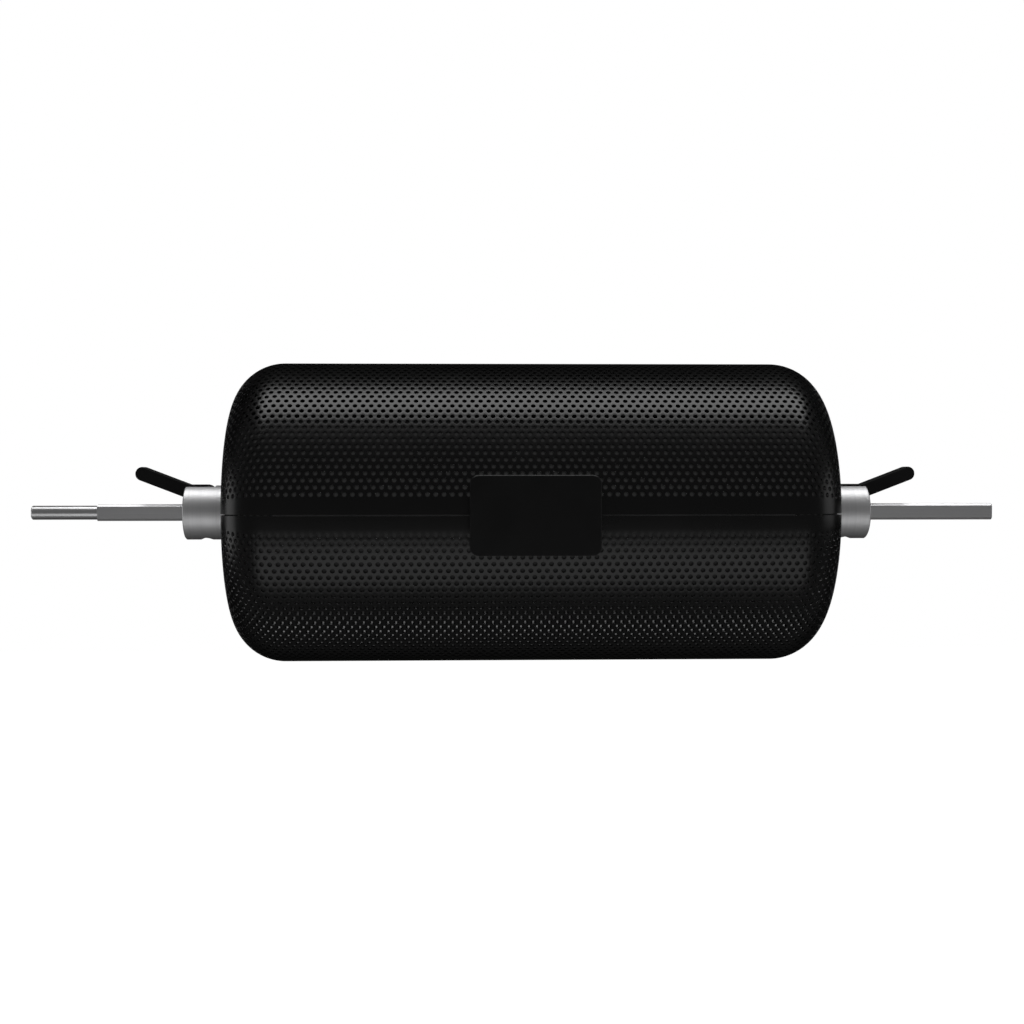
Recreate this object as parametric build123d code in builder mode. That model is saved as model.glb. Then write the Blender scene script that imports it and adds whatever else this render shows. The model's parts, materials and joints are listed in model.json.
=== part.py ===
from build123d import *
import os
from math import asin, cos, radians, sin, sqrt

# Rotisserie tumble basket: a black sheet-steel drum in two half shells, hinged at the rear and latched at
# the front, carried by two hubs that a cam lever each clamps on a square spit.
#
# Millimetres. The origin is the middle of the spit's round journal, on the spit's axis. +X runs along the
# spit to its drive end, +Z is up, and -Y is the latch side. Distances called "out" are measured along the
# spit from the drum's centre, on either side of it.

# ---- running and fitting clearances -------------------------------------------------------------------
BORE_CLEARANCE = 0.15      # square bore to rod, each flat
FIXED_PIN_CLEARANCE = 0.02  # a pin or nut in the piece that holds it
TURNING_CLEARANCE = 0.05   # a pin in the piece that turns on it
RIVET_CLEARANCE = 0.05     # rivet stem in its holes
SIDE_CLEARANCE = 0.3       # between knuckles or ears and what turns beside them
SEAT_GAP = 0.05            # curved sheet laid on curved sheet
SPIGOT_CLEARANCE = 0.3     # spigot in the lower shell's end wall
LID_SPIGOT_CLEARANCE = 0.6  # spigot under the lid's end wall
LID_RELIEF = 0.4           # hub flange cut back over the lid's end wall
CAM_GAP = 0.3              # closed cam to the rod's top flat

# ---- spit ---------------------------------------------------------------------------------------------
ROD = 10.0                 # across flats
ROD_CHAMFER = 1.3          # along its four edges
ROD_END_CHAMFER = 0.5
JOURNAL_D = 8.5
JOURNAL_LENGTH = 40.0
SHOULDER_TO_DRUM = 261.0   # journal's shoulder to the drum's centre
DRUM_TO_DRIVE_END = 286.5

# ---- drum ---------------------------------------------------------------------------------------------
DRUM_R = 90.5
DRUM_HALF = 178.0          # half its length
DRUM_CORNER = 31.0         # corner radius from barrel to end wall
WALL = 1.0
SEAM_GAP = 0.8             # between the two half shells

# ---- guide strips inside the seam, fixed in the lower shell -------------------------------------------
STRIP_T = 1.0
STRIP_UP = 5.0             # above the seam, inside the lid
STRIP_DOWN = 9.0           # below the seam, on the lower shell
STRIP_JOGGLE = 0.4         # clearance to the lid's inside
STRIP_END_MARGIN = 2.0     # short of the corner radius

# ---- hubs ---------------------------------------------------------------------------------------------
HUB_R = 16.5
HUB_LENGTH = 30.0
HUB_CHAMFER = 0.6
SPIGOT_R = 11.0
SPIGOT_TIP = 1.0           # spigot past its nut
BORE_CORNER = 0.9
RING_LENGTH = 11.8         # uncut ring between the drum and the lever slot
LEVER_SLOT_W = 10.6
SCALLOP_R = 6.8            # thumb scallop under the hub, below the pivot
SCALLOP_DEPTH = 1.2
HUB_PLATE_R = 32.0
HUB_PLATE_T = 2.0
NUT_R = 16.0
NUT_T = 4.0
NUT_NOTCH = 3.0
NUT_NOTCHES = 6

# ---- cam levers ---------------------------------------------------------------------------------------
PIVOT_FROM_END = 17.4      # from the drum's end
PIVOT_Z = 11.9
LEVER_PIN_R = 1.75
LEVER_PIN_EMBED = 4.0      # blind depth in the front cheek
LEVER_PIN_RECESS = 0.5
NOSE_R = 5.2
ARM_ANGLE = 21.0           # above the spit, closed
ARM_T = 8.45
ARM_LENGTH = 40.0          # pivot to the centre of the round tip
ARM_DROP = 2.95            # arm's centre line below the pivot
LEVER_EDGE = 0.6

# ---- rivets -------------------------------------------------------------------------------------------
RIVET_R = 1.25
RIVET_HEAD_R = 2.4
RIVET_HEAD_H = 0.9
RIVET_TAIL_R = 1.9
RIVET_TAIL_H = 0.6
HUB_RIVET_CIRCLE_R = 25.0
HUB_RIVET_ANGLES = (-145, -90, -35)

# ---- rear hinges --------------------------------------------------------------------------------------
HINGE_OUT = 95.0           # each hinge's middle
HINGE_W = 40.0
HINGE_AXIS_GAP = 3.5       # hinge axis off the drum
HINGE_PIN_R = 1.5
KNUCKLE_R = 3.0
MIDDLE_KNUCKLE_W = 15.4
LEAF_T = 1.2
LEAF_DROP = 26.0           # height of a leaf from the seam to its far edge
LEAF_NOTCH = 3.6           # leaf's edge beside the other leaf's knuckle
LEAF_SEAM = 0.6            # leaf's edge at its own knuckle
LEAF_RIVET_Z = 15.0
LEAF_RIVET_PITCH = 14.0

# ---- front latch --------------------------------------------------------------------------------------
PLATE_W = 72.8
PLATE_H = 44.6
PLATE_CORNER = 5.0
PLATE_STANDOFF = 6.0       # front face off the drum
PLATE_T = 1.5
PLATE_RIM_GAP = 0.9        # rim's back edge off the drum
PLATE_EDGE = 0.4
LATCH_PIVOT_Z = 18.5
LATCH_PIVOT_BACK = 2.8     # pivot behind the plate's inner face
LATCH_PIN_R = 1.0
LATCH_EAR_R = 3.0
LATCH_EAR_T = 2.0
LATCH_EAR_OUT = 29.5       # inner face of the plate's ears
LATCH_PIN_OVERHANG = 1.0
BRACKET_T = 1.0
BRACKET_HALF_W = 26.0
BRACKET_LOW = 6.0
BRACKET_HIGH = 22.0
BRACKET_EAR_OUT = 25.0     # outer face of the bracket's ears
BRACKET_EAR_T = 2.0
BRACKET_EAR_R = 2.4
BRACKET_RIVET_OUT = 12.0
BRACKET_RIVET_Z = 12.0
SPRING_WIRE_R = 0.3
SPRING_COIL_R = 1.7
SPRING_TURNS = 8.25        # ends at the front, running down into its leg
SPRING_PITCH = 0.9
SPRING_LEG = 9.0
TONGUE_T = 0.8
TONGUE_W = 16.0
TONGUE_TOP_Z = -1.0
TONGUE_BEND_Z = -9.0
TONGUE_DIMPLE_Z = -15.5
TONGUE_DIMPLE_END_Z = -17.0
TONGUE_TIP_Z = -20.0
TONGUE_REACH = 2.2         # dimple in front of the strip
TONGUE_RIVET_Z = -5.0
TONGUE_RIVET_OUT = 5.0
TONGUE_RIVET_DEPTH = 0.8   # blind, in the plate
KEEPER_T = 1.0
KEEPER_HALF_W = 18.0
KEEPER_TOP_Z = -6.0
KEEPER_LOW_Z = -20.0
KEEPER_BEAD_Z = -13.0
KEEPER_BEAD_R = 1.2
KEEPER_BEAD_HALF_W = 8.0
KEEPER_RIVET_OUT = 14.0

# ---- worked out from the above ------------------------------------------------------------------------
DRUM_X = JOURNAL_LENGTH / 2 + SHOULDER_TO_DRUM
INNER_R = DRUM_R - WALL
BORE = ROD + 2 * BORE_CLEARANCE
SPIGOT_LENGTH = WALL + HUB_PLATE_T + NUT_T + SPIGOT_TIP
LEVER_W = LEVER_SLOT_W - 2 * SIDE_CLEARANCE
PIVOT_OUT = DRUM_HALF + PIVOT_FROM_END
CAM_DROP = PIVOT_Z - NOSE_R - ROD / 2 - CAM_GAP
HINGE_AXIS_Y = DRUM_R + HINGE_AXIS_GAP
PLATE_FRONT = DRUM_R + PLATE_STANDOFF
PLATE_BACK = PLATE_FRONT - PLATE_T
LATCH_PIVOT = PLATE_BACK - LATCH_PIVOT_BACK   # in front of the spit's axis


def across(out):
    """Plane square to the spit, `out` from the drum's centre: local x is +Y, local y is +Z."""
    return Plane(origin=(DRUM_X + out, 0, 0), x_dir=(0, 1, 0), z_dir=(1, 0, 0))


def beside(side, out, z):
    """Upright plane through the spit's axis: local x runs away from the drum there, local y is +Z."""
    return Plane(origin=(DRUM_X + side * out, 0, z), x_dir=(side, 0, 0), z_dir=(0, -side, 0))


def facing(front):
    """Upright plane at that distance in front of the spit's axis: local x is +X, local y is +Z."""
    return Plane(origin=(DRUM_X, -front, 0), x_dir=(1, 0, 0), z_dir=(0, -1, 0))


def drum_seat(out, z, lift, rear):
    """Plane tangent to the drum, `lift` off its surface at height z, with its normal pointing outward."""
    angle = asin(z / DRUM_R)
    normal = ((1 if rear else -1) * cos(angle), sin(angle))
    reach = DRUM_R + lift
    return Plane(
        origin=(DRUM_X + out, normal[0] * reach, normal[1] * reach),
        x_dir=(1, 0, 0),
        z_dir=(0, normal[0], normal[1]),
    )


def drum_band(inner, outer, low_z, high_z, rear):
    """Sketch of a curved strip between two radii and two heights, at the front or the rear of the drum."""
    with BuildSketch(Plane.XY) as band:
        Circle(outer)
        Circle(inner, mode=Mode.SUBTRACT)
        with Locations(((1 if rear else -1) * outer / 2, (low_z + high_z) / 2)):
            Rectangle(outer, high_z - low_z, mode=Mode.INTERSECT)
    return band.sketch


def rivet_section(seat, grip, tail):
    """Half section of a domed rivet whose head sits on the seat plane; without a tail its end is blind."""
    dome = (RIVET_HEAD_R**2 + RIVET_HEAD_H**2) / (2 * RIVET_HEAD_H)
    half = asin(RIVET_HEAD_R / dome) / 2
    on_dome = (dome * sin(half), RIVET_HEAD_H - dome + dome * cos(half))
    foot = [(0, -grip), (RIVET_R, -grip)]
    if tail:
        foot = [
            (0, -grip - RIVET_TAIL_H),
            (RIVET_TAIL_R, -grip - RIVET_TAIL_H),
            (RIVET_TAIL_R, -grip),
            (RIVET_R, -grip),
        ]
    upright = Plane(origin=seat.origin, x_dir=seat.x_dir, z_dir=-seat.y_dir)
    with BuildSketch(upright) as section:
        with BuildLine():
            Polyline(*foot, (RIVET_R, 0), (RIVET_HEAD_R, 0))
            ThreePointArc((RIVET_HEAD_R, 0), on_dome, (0, RIVET_HEAD_H))
            Line((0, RIVET_HEAD_H), foot[0])
        make_face()
    return section.sketch


def make_rivets(label, seats, grip, tail=True):
    """Write one node of identical rivets, one on each seat plane."""
    with BuildPart() as rivets:
        for seat in seats:
            revolve(rivet_section(seat, grip, tail), axis=Axis(seat.origin, seat.z_dir))
    save(rivets, label)


def save(piece, label):
    """Label a finished piece and write it as its own STEP file."""
    piece.part.label = label
    export_step(piece.part, f"parts/{label}.step")


# ---- rivet seats, shared by the pieces that they join -------------------------------------------------
def hinge_seats(out, z):
    """Seats of one hinge leaf's rivets."""
    steps = (-LEAF_RIVET_PITCH, 0, LEAF_RIVET_PITCH)
    return [drum_seat(out + step, z, SEAT_GAP + LEAF_T, rear=True) for step in steps]


def hub_seats(side):
    """Seats of the rivets round one hub, on the end wall's outside."""
    seats = []
    for angle in HUB_RIVET_ANGLES:
        y = HUB_RIVET_CIRCLE_R * cos(radians(angle))
        z = HUB_RIVET_CIRCLE_R * sin(radians(angle))
        origin = (DRUM_X + side * DRUM_HALF, y, z)
        seats.append(Plane(origin=origin, x_dir=(0, 1, 0), z_dir=(side, 0, 0)))
    return seats


SIDES = {"left": -1, "right": 1}
LOWER_HINGE_SEATS = [seat for side in (-1, 1) for seat in hinge_seats(side * HINGE_OUT, -LEAF_RIVET_Z)]
UPPER_HINGE_SEATS = [seat for side in (-1, 1) for seat in hinge_seats(side * HINGE_OUT, LEAF_RIVET_Z)]
HUB_SEATS = hub_seats(-1) + hub_seats(1)
BRACKET_SEATS = [
    drum_seat(side * BRACKET_RIVET_OUT, BRACKET_RIVET_Z, SEAT_GAP + BRACKET_T, rear=False)
    for side in (-1, 1)
]
KEEPER_SEATS = [
    drum_seat(side * KEEPER_RIVET_OUT, KEEPER_BEAD_Z, SEAT_GAP + KEEPER_T, rear=False)
    for side in (-1, 1)
]
TONGUE_SEATS = [
    Plane(
        origin=(DRUM_X + side * TONGUE_RIVET_OUT, -(PLATE_BACK - TONGUE_T), TONGUE_RIVET_Z),
        x_dir=(1, 0, 0),
        z_dir=(0, 1, 0),
    )
    for side in (-1, 1)
]
RIVET_HOLE_R = RIVET_R + RIVET_CLEARANCE
RIVET_HOLE_DEPTH = 8.0     # drilled both ways from the seat, through thin sheet


def make_spit_rod():
    """Square rod with a round journal turned on its left end."""
    with BuildPart() as rod:
        with BuildSketch(across(-SHOULDER_TO_DRUM)) as flats:
            Rectangle(ROD, ROD)
            chamfer(flats.vertices(), ROD_CHAMFER)
        extrude(amount=SHOULDER_TO_DRUM + DRUM_TO_DRIVE_END)
        chamfer(rod.faces().sort_by(Axis.X)[-1].edges(), ROD_END_CHAMFER)
        with BuildSketch(across(-SHOULDER_TO_DRUM)):
            Circle(JOURNAL_D / 2)
        extrude(amount=-JOURNAL_LENGTH)
        chamfer(rod.faces().sort_by(Axis.X)[0].edges(), ROD_END_CHAMFER)
    save(rod, "spit_rod")


def sheet_outline(half, radius, corner, hole):
    """Corner points and radius of one side of the drum's sheet, from end hole to end hole."""
    return FilletPolyline((-half, hole), (-half, radius), (half, radius), (half, hole), radius=corner)


def make_half_shell(label, upper, spigot_hole, seats):
    """Half of the drum: barrel, rounded corners, and end walls with a half-round hole for each spigot."""
    with BuildPart() as shell:
        with BuildSketch(beside(1, 0, 0)):
            with BuildLine():
                sheet_outline(DRUM_HALF, DRUM_R, DRUM_CORNER, spigot_hole)
                sheet_outline(DRUM_HALF - WALL, INNER_R, DRUM_CORNER - WALL, spigot_hole)
                Line((-DRUM_HALF, spigot_hole), (-DRUM_HALF + WALL, spigot_hole))
                Line((DRUM_HALF, spigot_hole), (DRUM_HALF - WALL, spigot_hole))
            make_face()
        revolve(axis=Axis.X)
        edge = SEAM_GAP / 2 if upper else -SEAM_GAP / 2
        split(bisect_by=Plane.XY.offset(edge), keep=Keep.TOP if upper else Keep.BOTTOM)
        with Locations(*seats):
            Cylinder(RIVET_HOLE_R, RIVET_HOLE_DEPTH, mode=Mode.SUBTRACT)
    save(shell, label)


def make_guide_strip(label, rear):
    """Joggled strip: its lower half lies in the lower shell, its upper half guides the closing lid."""
    outer = INNER_R - SEAT_GAP
    with BuildPart() as strip:
        lower = drum_band(outer - STRIP_T, outer, -STRIP_DOWN, 0, rear)
        upper = drum_band(
            outer - STRIP_JOGGLE - STRIP_T, outer - STRIP_JOGGLE, -STRIP_T, STRIP_UP, rear
        )
        half = DRUM_HALF - DRUM_CORNER - STRIP_END_MARGIN
        extrude(across(-half) * (lower + upper), amount=2 * half)
    save(strip, label)


def make_hub(label, side):
    """Hub with a spigot through the end wall, a square bore, a lever slot and a scallop underneath."""
    end = side * DRUM_HALF
    with BuildPart() as hub:
        with BuildSketch(across(end)):
            Circle(HUB_R)
        extrude(amount=side * HUB_LENGTH)
        rim = hub.edges().filter_by(GeomType.CIRCLE).sort_by(Axis.X)[-1 if side > 0 else 0]
        chamfer(rim, HUB_CHAMFER)
        with BuildSketch(across(end)):
            Circle(SPIGOT_R)
        extrude(amount=-side * SPIGOT_LENGTH)
        with BuildSketch(across(end - side * SPIGOT_LENGTH)) as bore:
            Rectangle(BORE, BORE)
            chamfer(bore.vertices(), BORE_CORNER)
        extrude(amount=side * (SPIGOT_LENGTH + HUB_LENGTH), mode=Mode.SUBTRACT)
        with BuildSketch(beside(side, DRUM_HALF, 0)):
            with Locations((RING_LENGTH, 0)):
                Rectangle(HUB_LENGTH, 2 * HUB_R, align=(Align.MIN, Align.MIN))
        extrude(amount=LEVER_SLOT_W / 2, both=True, mode=Mode.SUBTRACT)
        with BuildSketch(beside(side, DRUM_HALF, 0)):
            Rectangle(LID_RELIEF, 2 * HUB_R, align=(Align.MIN, Align.MIN))
            Rectangle(LID_RELIEF, 2 * SPIGOT_R, mode=Mode.SUBTRACT)
        extrude(amount=HUB_R, both=True, mode=Mode.SUBTRACT)
        with BuildSketch(beside(side, PIVOT_OUT, -HUB_R + SCALLOP_DEPTH - SCALLOP_R)):
            Circle(SCALLOP_R)
        extrude(amount=HUB_R, both=True, mode=Mode.SUBTRACT)
        with Locations(lever_pin_plane(side)):
            Cylinder(
                LEVER_PIN_R + FIXED_PIN_CLEARANCE,
                LEVER_PIN_EMBED + LEVER_SLOT_W + HUB_R,
                align=(Align.CENTER, Align.CENTER, Align.MIN),
                mode=Mode.SUBTRACT,
            )
    save(hub, label)


def lever_pin_plane(side):
    """Plane at the blind end of a lever pin, its normal pointing to the rear along the pin."""
    blind_end = -(LEVER_SLOT_W / 2 + LEVER_PIN_EMBED)
    return Plane(origin=(DRUM_X + side * PIVOT_OUT, blind_end, PIVOT_Z), x_dir=(1, 0, 0), z_dir=(0, 1, 0))


def make_lever_pin(label, side):
    """Pin driven into the hub from the rear, blind in the front cheek."""
    length = LEVER_SLOT_W / 2 + LEVER_PIN_EMBED + sqrt(HUB_R**2 - PIVOT_Z**2) - LEVER_PIN_RECESS
    with BuildPart() as pin:
        with BuildSketch(lever_pin_plane(side)):
            Circle(LEVER_PIN_R)
        extrude(amount=length)
    save(pin, label)


def make_lever(label, side):
    """Cam lever: a cam on the pivot, a flat crown over the hub and a straight arm with a round tip."""
    tilt = radians(ARM_ANGLE)
    along = Vector(cos(tilt), sin(tilt))
    square = Vector(-sin(tilt), cos(tilt))
    over = ARM_T / 2 - ARM_DROP      # arm's top edge above the pivot, square to the arm
    under = ARM_T / 2 + ARM_DROP     # arm's lower edge below the pivot
    cam_low = NOSE_R + CAM_DROP
    tip = along * ARM_LENGTH - square * ARM_DROP
    knee = along * ((NOSE_R - over * cos(tilt)) / sin(tilt)) + square * over
    heel = along * ((under * cos(tilt) - cam_low) / sin(tilt)) - square * under
    with BuildPart() as lever:
        with BuildSketch(beside(side, PIVOT_OUT, PIVOT_Z)):
            with BuildLine():
                CenterArc((0, 0), NOSE_R, 90, 90)
                Polyline((0, NOSE_R), knee, tip + square * (ARM_T / 2))
                CenterArc(tip, ARM_T / 2, ARM_ANGLE - 90, 180)
                Polyline(tip - square * (ARM_T / 2), heel, (0, -cam_low))
                CenterArc((0, -CAM_DROP), NOSE_R, 180, 90)
                Line((-NOSE_R, -CAM_DROP), (-NOSE_R, 0))
            make_face()
            Circle(LEVER_PIN_R + TURNING_CLEARANCE, mode=Mode.SUBTRACT)
        extrude(amount=LEVER_W / 2, both=True)
        cheeks = lever.faces().filter_by(Axis.Y).sort_by(Axis.Y)
        rims = [cheek.outer_wire().edges() for cheek in (cheeks[0], cheeks[-1])]
        chamfer([edge for rim in rims for edge in rim], LEVER_EDGE)
    save(lever, label)


def make_hub_plate(label, side):
    """Half-round backing plate inside the lower shell's end wall."""
    with BuildPart() as plate:
        with BuildSketch(across(side * (DRUM_HALF - WALL))):
            Circle(HUB_PLATE_R)
            Circle(SPIGOT_R + SPIGOT_CLEARANCE, mode=Mode.SUBTRACT)
            with Locations((0, -SEAM_GAP)):
                lower_half = (Align.CENTER, Align.MAX)
                Rectangle(2 * HUB_PLATE_R, HUB_PLATE_R, align=lower_half, mode=Mode.INTERSECT)
        extrude(amount=-side * HUB_PLATE_T)
        with Locations(*hub_seats(side)):
            Cylinder(RIVET_HOLE_R, RIVET_HOLE_DEPTH, mode=Mode.SUBTRACT)
    save(plate, label)


def make_hub_nut(label, side):
    """Notched ring nut on the spigot, clamping the end wall between plate and hub."""
    with BuildPart() as nut:
        with BuildSketch(across(side * (DRUM_HALF - WALL - HUB_PLATE_T))):
            Circle(NUT_R)
            Circle(SPIGOT_R + FIXED_PIN_CLEARANCE, mode=Mode.SUBTRACT)
            with PolarLocations(NUT_R, NUT_NOTCHES):
                Rectangle(NUT_NOTCH, NUT_NOTCH, mode=Mode.SUBTRACT)
        extrude(amount=-side * NUT_T)
    save(nut, label)


def make_hinge_leaf(label, out, upper):
    """Hinge leaf curved to the drum: the lower has the two outer knuckles, the upper the middle one."""
    way = 1 if upper else -1
    inner = DRUM_R + SEAT_GAP
    outer = inner + LEAF_T
    low, high = sorted((way * LEAF_NOTCH, way * LEAF_DROP))
    leaf_band = drum_band(inner, outer, low, high, rear=True)
    low, high = sorted((way * LEAF_SEAM, way * LEAF_NOTCH))
    neck = drum_band(inner, outer, low, high, rear=True)
    with BuildSketch(Plane.XY) as knuckle:
        with Locations((HINGE_AXIS_Y, 0)):
            Circle(KNUCKLE_R)
    with BuildSketch(Plane.XY) as pin_hole:
        with Locations((HINGE_AXIS_Y, 0)):
            Circle(HINGE_PIN_R + (TURNING_CLEARANCE if upper else FIXED_PIN_CLEARANCE))
    half_middle = MIDDLE_KNUCKLE_W / 2
    outer_start = half_middle + SIDE_CLEARANCE
    if upper:
        spans = [(-half_middle, half_middle)]
    else:
        spans = [(-HINGE_W / 2, -outer_start), (outer_start, HINGE_W / 2)]
    with BuildPart() as leaf:
        extrude(across(out - HINGE_W / 2) * leaf_band, amount=HINGE_W)
        for start, stop in spans:
            extrude(across(out + start) * (neck + knuckle.sketch), amount=stop - start)
        extrude(across(out - HINGE_W / 2) * pin_hole.sketch, amount=HINGE_W, mode=Mode.SUBTRACT)
        with Locations(*hinge_seats(out, way * LEAF_RIVET_Z)):
            Cylinder(RIVET_HOLE_R, RIVET_HOLE_DEPTH, mode=Mode.SUBTRACT)
    save(leaf, label)


def make_hinge_pin(label, out):
    """Hinge pin, flush with the outer knuckles."""
    with BuildPart() as pin:
        with BuildSketch(across(out - HINGE_W / 2)):
            with Locations((HINGE_AXIS_Y, 0)):
                Circle(HINGE_PIN_R)
        extrude(amount=HINGE_W)
    save(pin, label)


def make_latch_plate():
    """Shallow rectangular pan with rounded corners, open at its top edge, with two ears for its pin."""
    rim_depth = PLATE_FRONT - DRUM_R - PLATE_RIM_GAP
    with BuildPart() as plate:
        with BuildSketch(facing(PLATE_FRONT)):
            RectangleRounded(PLATE_W, PLATE_H, PLATE_CORNER)
        extrude(amount=-rim_depth)
        chamfer(plate.faces().sort_by(Axis.Y)[0].edges(), PLATE_EDGE)
        with BuildSketch(facing(PLATE_BACK)):
            RectangleRounded(PLATE_W - 2 * PLATE_T, PLATE_H - 2 * PLATE_T, PLATE_CORNER - PLATE_T)
        extrude(amount=-rim_depth, mode=Mode.SUBTRACT)
        with BuildSketch(facing(PLATE_BACK)):
            with Locations((0, LATCH_PIVOT_Z - LATCH_PIN_R)):
                Rectangle(PLATE_W, PLATE_H, align=(Align.CENTER, Align.MIN))
        extrude(amount=-rim_depth, mode=Mode.SUBTRACT)
        for side in (-1, 1):
            with BuildSketch(across(side * LATCH_EAR_OUT)):
                with Locations((-LATCH_PIVOT, LATCH_PIVOT_Z)):
                    Circle(LATCH_EAR_R)
            extrude(amount=side * LATCH_EAR_T)
        with BuildSketch(across(-PLATE_W / 2)):
            with Locations((-LATCH_PIVOT, LATCH_PIVOT_Z)):
                Circle(LATCH_PIN_R + FIXED_PIN_CLEARANCE)
        extrude(amount=PLATE_W, mode=Mode.SUBTRACT)
        with Locations(*TONGUE_SEATS):
            Cylinder(
                RIVET_HOLE_R,
                TONGUE_T + TONGUE_RIVET_DEPTH + RIVET_CLEARANCE,
                align=(Align.CENTER, Align.CENTER, Align.MAX),
                mode=Mode.SUBTRACT,
            )
    save(plate, "latch_plate")


def make_latch_pin():
    """Pin through the plate's ears, turning in the bracket's ears."""
    half = LATCH_EAR_OUT + LATCH_EAR_T + LATCH_PIN_OVERHANG
    with BuildPart() as pin:
        with BuildSketch(across(-half)):
            with Locations((-LATCH_PIVOT, LATCH_PIVOT_Z)):
                Circle(LATCH_PIN_R)
        extrude(amount=2 * half)
    save(pin, "latch_pin")


def make_latch_bracket():
    """Curved strap on the lid with two ears that carry the latch pin."""
    inner = DRUM_R + SEAT_GAP
    strap = drum_band(inner, inner + BRACKET_T, BRACKET_LOW, BRACKET_HIGH, rear=False)
    reach = LATCH_PIVOT - INNER_R
    with BuildPart() as bracket:
        extrude(across(-BRACKET_HALF_W) * strap, amount=2 * BRACKET_HALF_W)
        for side in (-1, 1):
            with BuildSketch(across(side * BRACKET_EAR_OUT)):
                with Locations((-LATCH_PIVOT, LATCH_PIVOT_Z)):
                    Circle(BRACKET_EAR_R)
                    Rectangle(reach, 2 * BRACKET_EAR_R, align=(Align.MIN, Align.CENTER))
                Circle(inner, mode=Mode.SUBTRACT)
            extrude(amount=-side * BRACKET_EAR_T)
        with BuildSketch(across(-BRACKET_HALF_W)):
            with Locations((-LATCH_PIVOT, LATCH_PIVOT_Z)):
                Circle(LATCH_PIN_R + TURNING_CLEARANCE)
        extrude(amount=2 * BRACKET_HALF_W, mode=Mode.SUBTRACT)
        with Locations(*BRACKET_SEATS):
            Cylinder(RIVET_HOLE_R, RIVET_HOLE_DEPTH, mode=Mode.SUBTRACT)
    save(bracket, "latch_bracket")


def make_latch_spring():
    """Torsion spring round the latch pin, one leg down the back of the plate."""
    half = SPRING_TURNS * SPRING_PITCH / 2
    start = (DRUM_X - half, -LATCH_PIVOT, LATCH_PIVOT_Z)
    with BuildPart() as spring:
        with BuildLine() as coil:
            Helix(SPRING_PITCH, 2 * half, SPRING_COIL_R, center=start, direction=(1, 0, 0))
        with BuildSketch(Plane(origin=coil.line @ 0, z_dir=coil.line % 0)):
            Circle(SPRING_WIRE_R)
        sweep(is_frenet=True)
        with BuildSketch(Plane(origin=coil.line @ 1, z_dir=coil.line % 1)):
            Circle(SPRING_WIRE_R)
        extrude(amount=SPRING_LEG)
    save(spring, "latch_spring")


def make_latch_tongue():
    """Spring strip on the plate's back, with a dimple that passes in front of the keeper's bead."""
    flat = PLATE_BACK - TONGUE_T / 2
    with BuildPart() as tongue:
        with BuildSketch(across(-TONGUE_W / 2)):
            with BuildLine():
                Polyline(
                    (-flat, TONGUE_TOP_Z),
                    (-flat, TONGUE_BEND_Z),
                    (-flat + TONGUE_REACH, TONGUE_DIMPLE_Z),
                    (-flat + TONGUE_REACH, TONGUE_DIMPLE_END_Z),
                    (-flat + TONGUE_REACH / 2, TONGUE_TIP_Z),
                )
            trace(line_width=TONGUE_T)
        extrude(amount=TONGUE_W)
        with Locations(*TONGUE_SEATS):
            Cylinder(RIVET_HOLE_R, 2 * TONGUE_T, mode=Mode.SUBTRACT)
    save(tongue, "latch_tongue")


def make_keeper():
    """Curved strap on the lower shell with the bead that the latch snaps over."""
    inner = DRUM_R + SEAT_GAP
    strap = drum_band(inner, inner + KEEPER_T, KEEPER_LOW_Z, KEEPER_TOP_Z, rear=False)
    bead_seat = drum_seat(0, KEEPER_BEAD_Z, SEAT_GAP + KEEPER_T, rear=False)
    with BuildPart() as keeper:
        extrude(across(-KEEPER_HALF_W) * strap, amount=2 * KEEPER_HALF_W)
        with BuildSketch(across(-KEEPER_BEAD_HALF_W)):
            with Locations((bead_seat.origin.Y, bead_seat.origin.Z)):
                Circle(KEEPER_BEAD_R)
            Circle(inner, mode=Mode.SUBTRACT)
        extrude(amount=2 * KEEPER_BEAD_HALF_W)
        with Locations(*KEEPER_SEATS):
            Cylinder(RIVET_HOLE_R, RIVET_HOLE_DEPTH, mode=Mode.SUBTRACT)
    save(keeper, "keeper")


os.makedirs("parts", exist_ok=True)

make_spit_rod()
lower_seats = LOWER_HINGE_SEATS + HUB_SEATS + KEEPER_SEATS
upper_seats = UPPER_HINGE_SEATS + BRACKET_SEATS
make_half_shell("lower_shell", False, SPIGOT_R + SPIGOT_CLEARANCE, lower_seats)
make_half_shell("upper_shell", True, SPIGOT_R + LID_SPIGOT_CLEARANCE, upper_seats)
make_guide_strip("guide_strip_front", rear=False)
make_guide_strip("guide_strip_rear", rear=True)

for name, side in SIDES.items():
    make_hub(f"hub_{name}", side)
    make_hub_plate(f"hub_plate_{name}", side)
    make_hub_nut(f"hub_nut_{name}", side)
    make_lever_pin(f"lever_pin_{name}", side)
    make_lever(f"cam_lever_{name}", side)
    make_hinge_leaf(f"hinge_leaf_lower_{name}", side * HINGE_OUT, upper=False)
    make_hinge_leaf(f"hinge_leaf_upper_{name}", side * HINGE_OUT, upper=True)
    make_hinge_pin(f"hinge_pin_{name}", side * HINGE_OUT)

make_latch_plate()
make_latch_pin()
make_latch_bracket()
make_latch_spring()
make_latch_tongue()
make_keeper()

make_rivets("hub_rivets", HUB_SEATS, WALL + HUB_PLATE_T)
make_rivets("hinge_rivets_lower", LOWER_HINGE_SEATS, LEAF_T + WALL + 2 * SEAT_GAP)
make_rivets("hinge_rivets_upper", UPPER_HINGE_SEATS, LEAF_T + WALL + 2 * SEAT_GAP)
make_rivets("bracket_rivets", BRACKET_SEATS, BRACKET_T + WALL + 2 * SEAT_GAP)
make_rivets("keeper_rivets", KEEPER_SEATS, KEEPER_T + WALL + 2 * SEAT_GAP)
make_rivets("tongue_rivets", TONGUE_SEATS, TONGUE_T + TONGUE_RIVET_DEPTH, tail=False)
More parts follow.
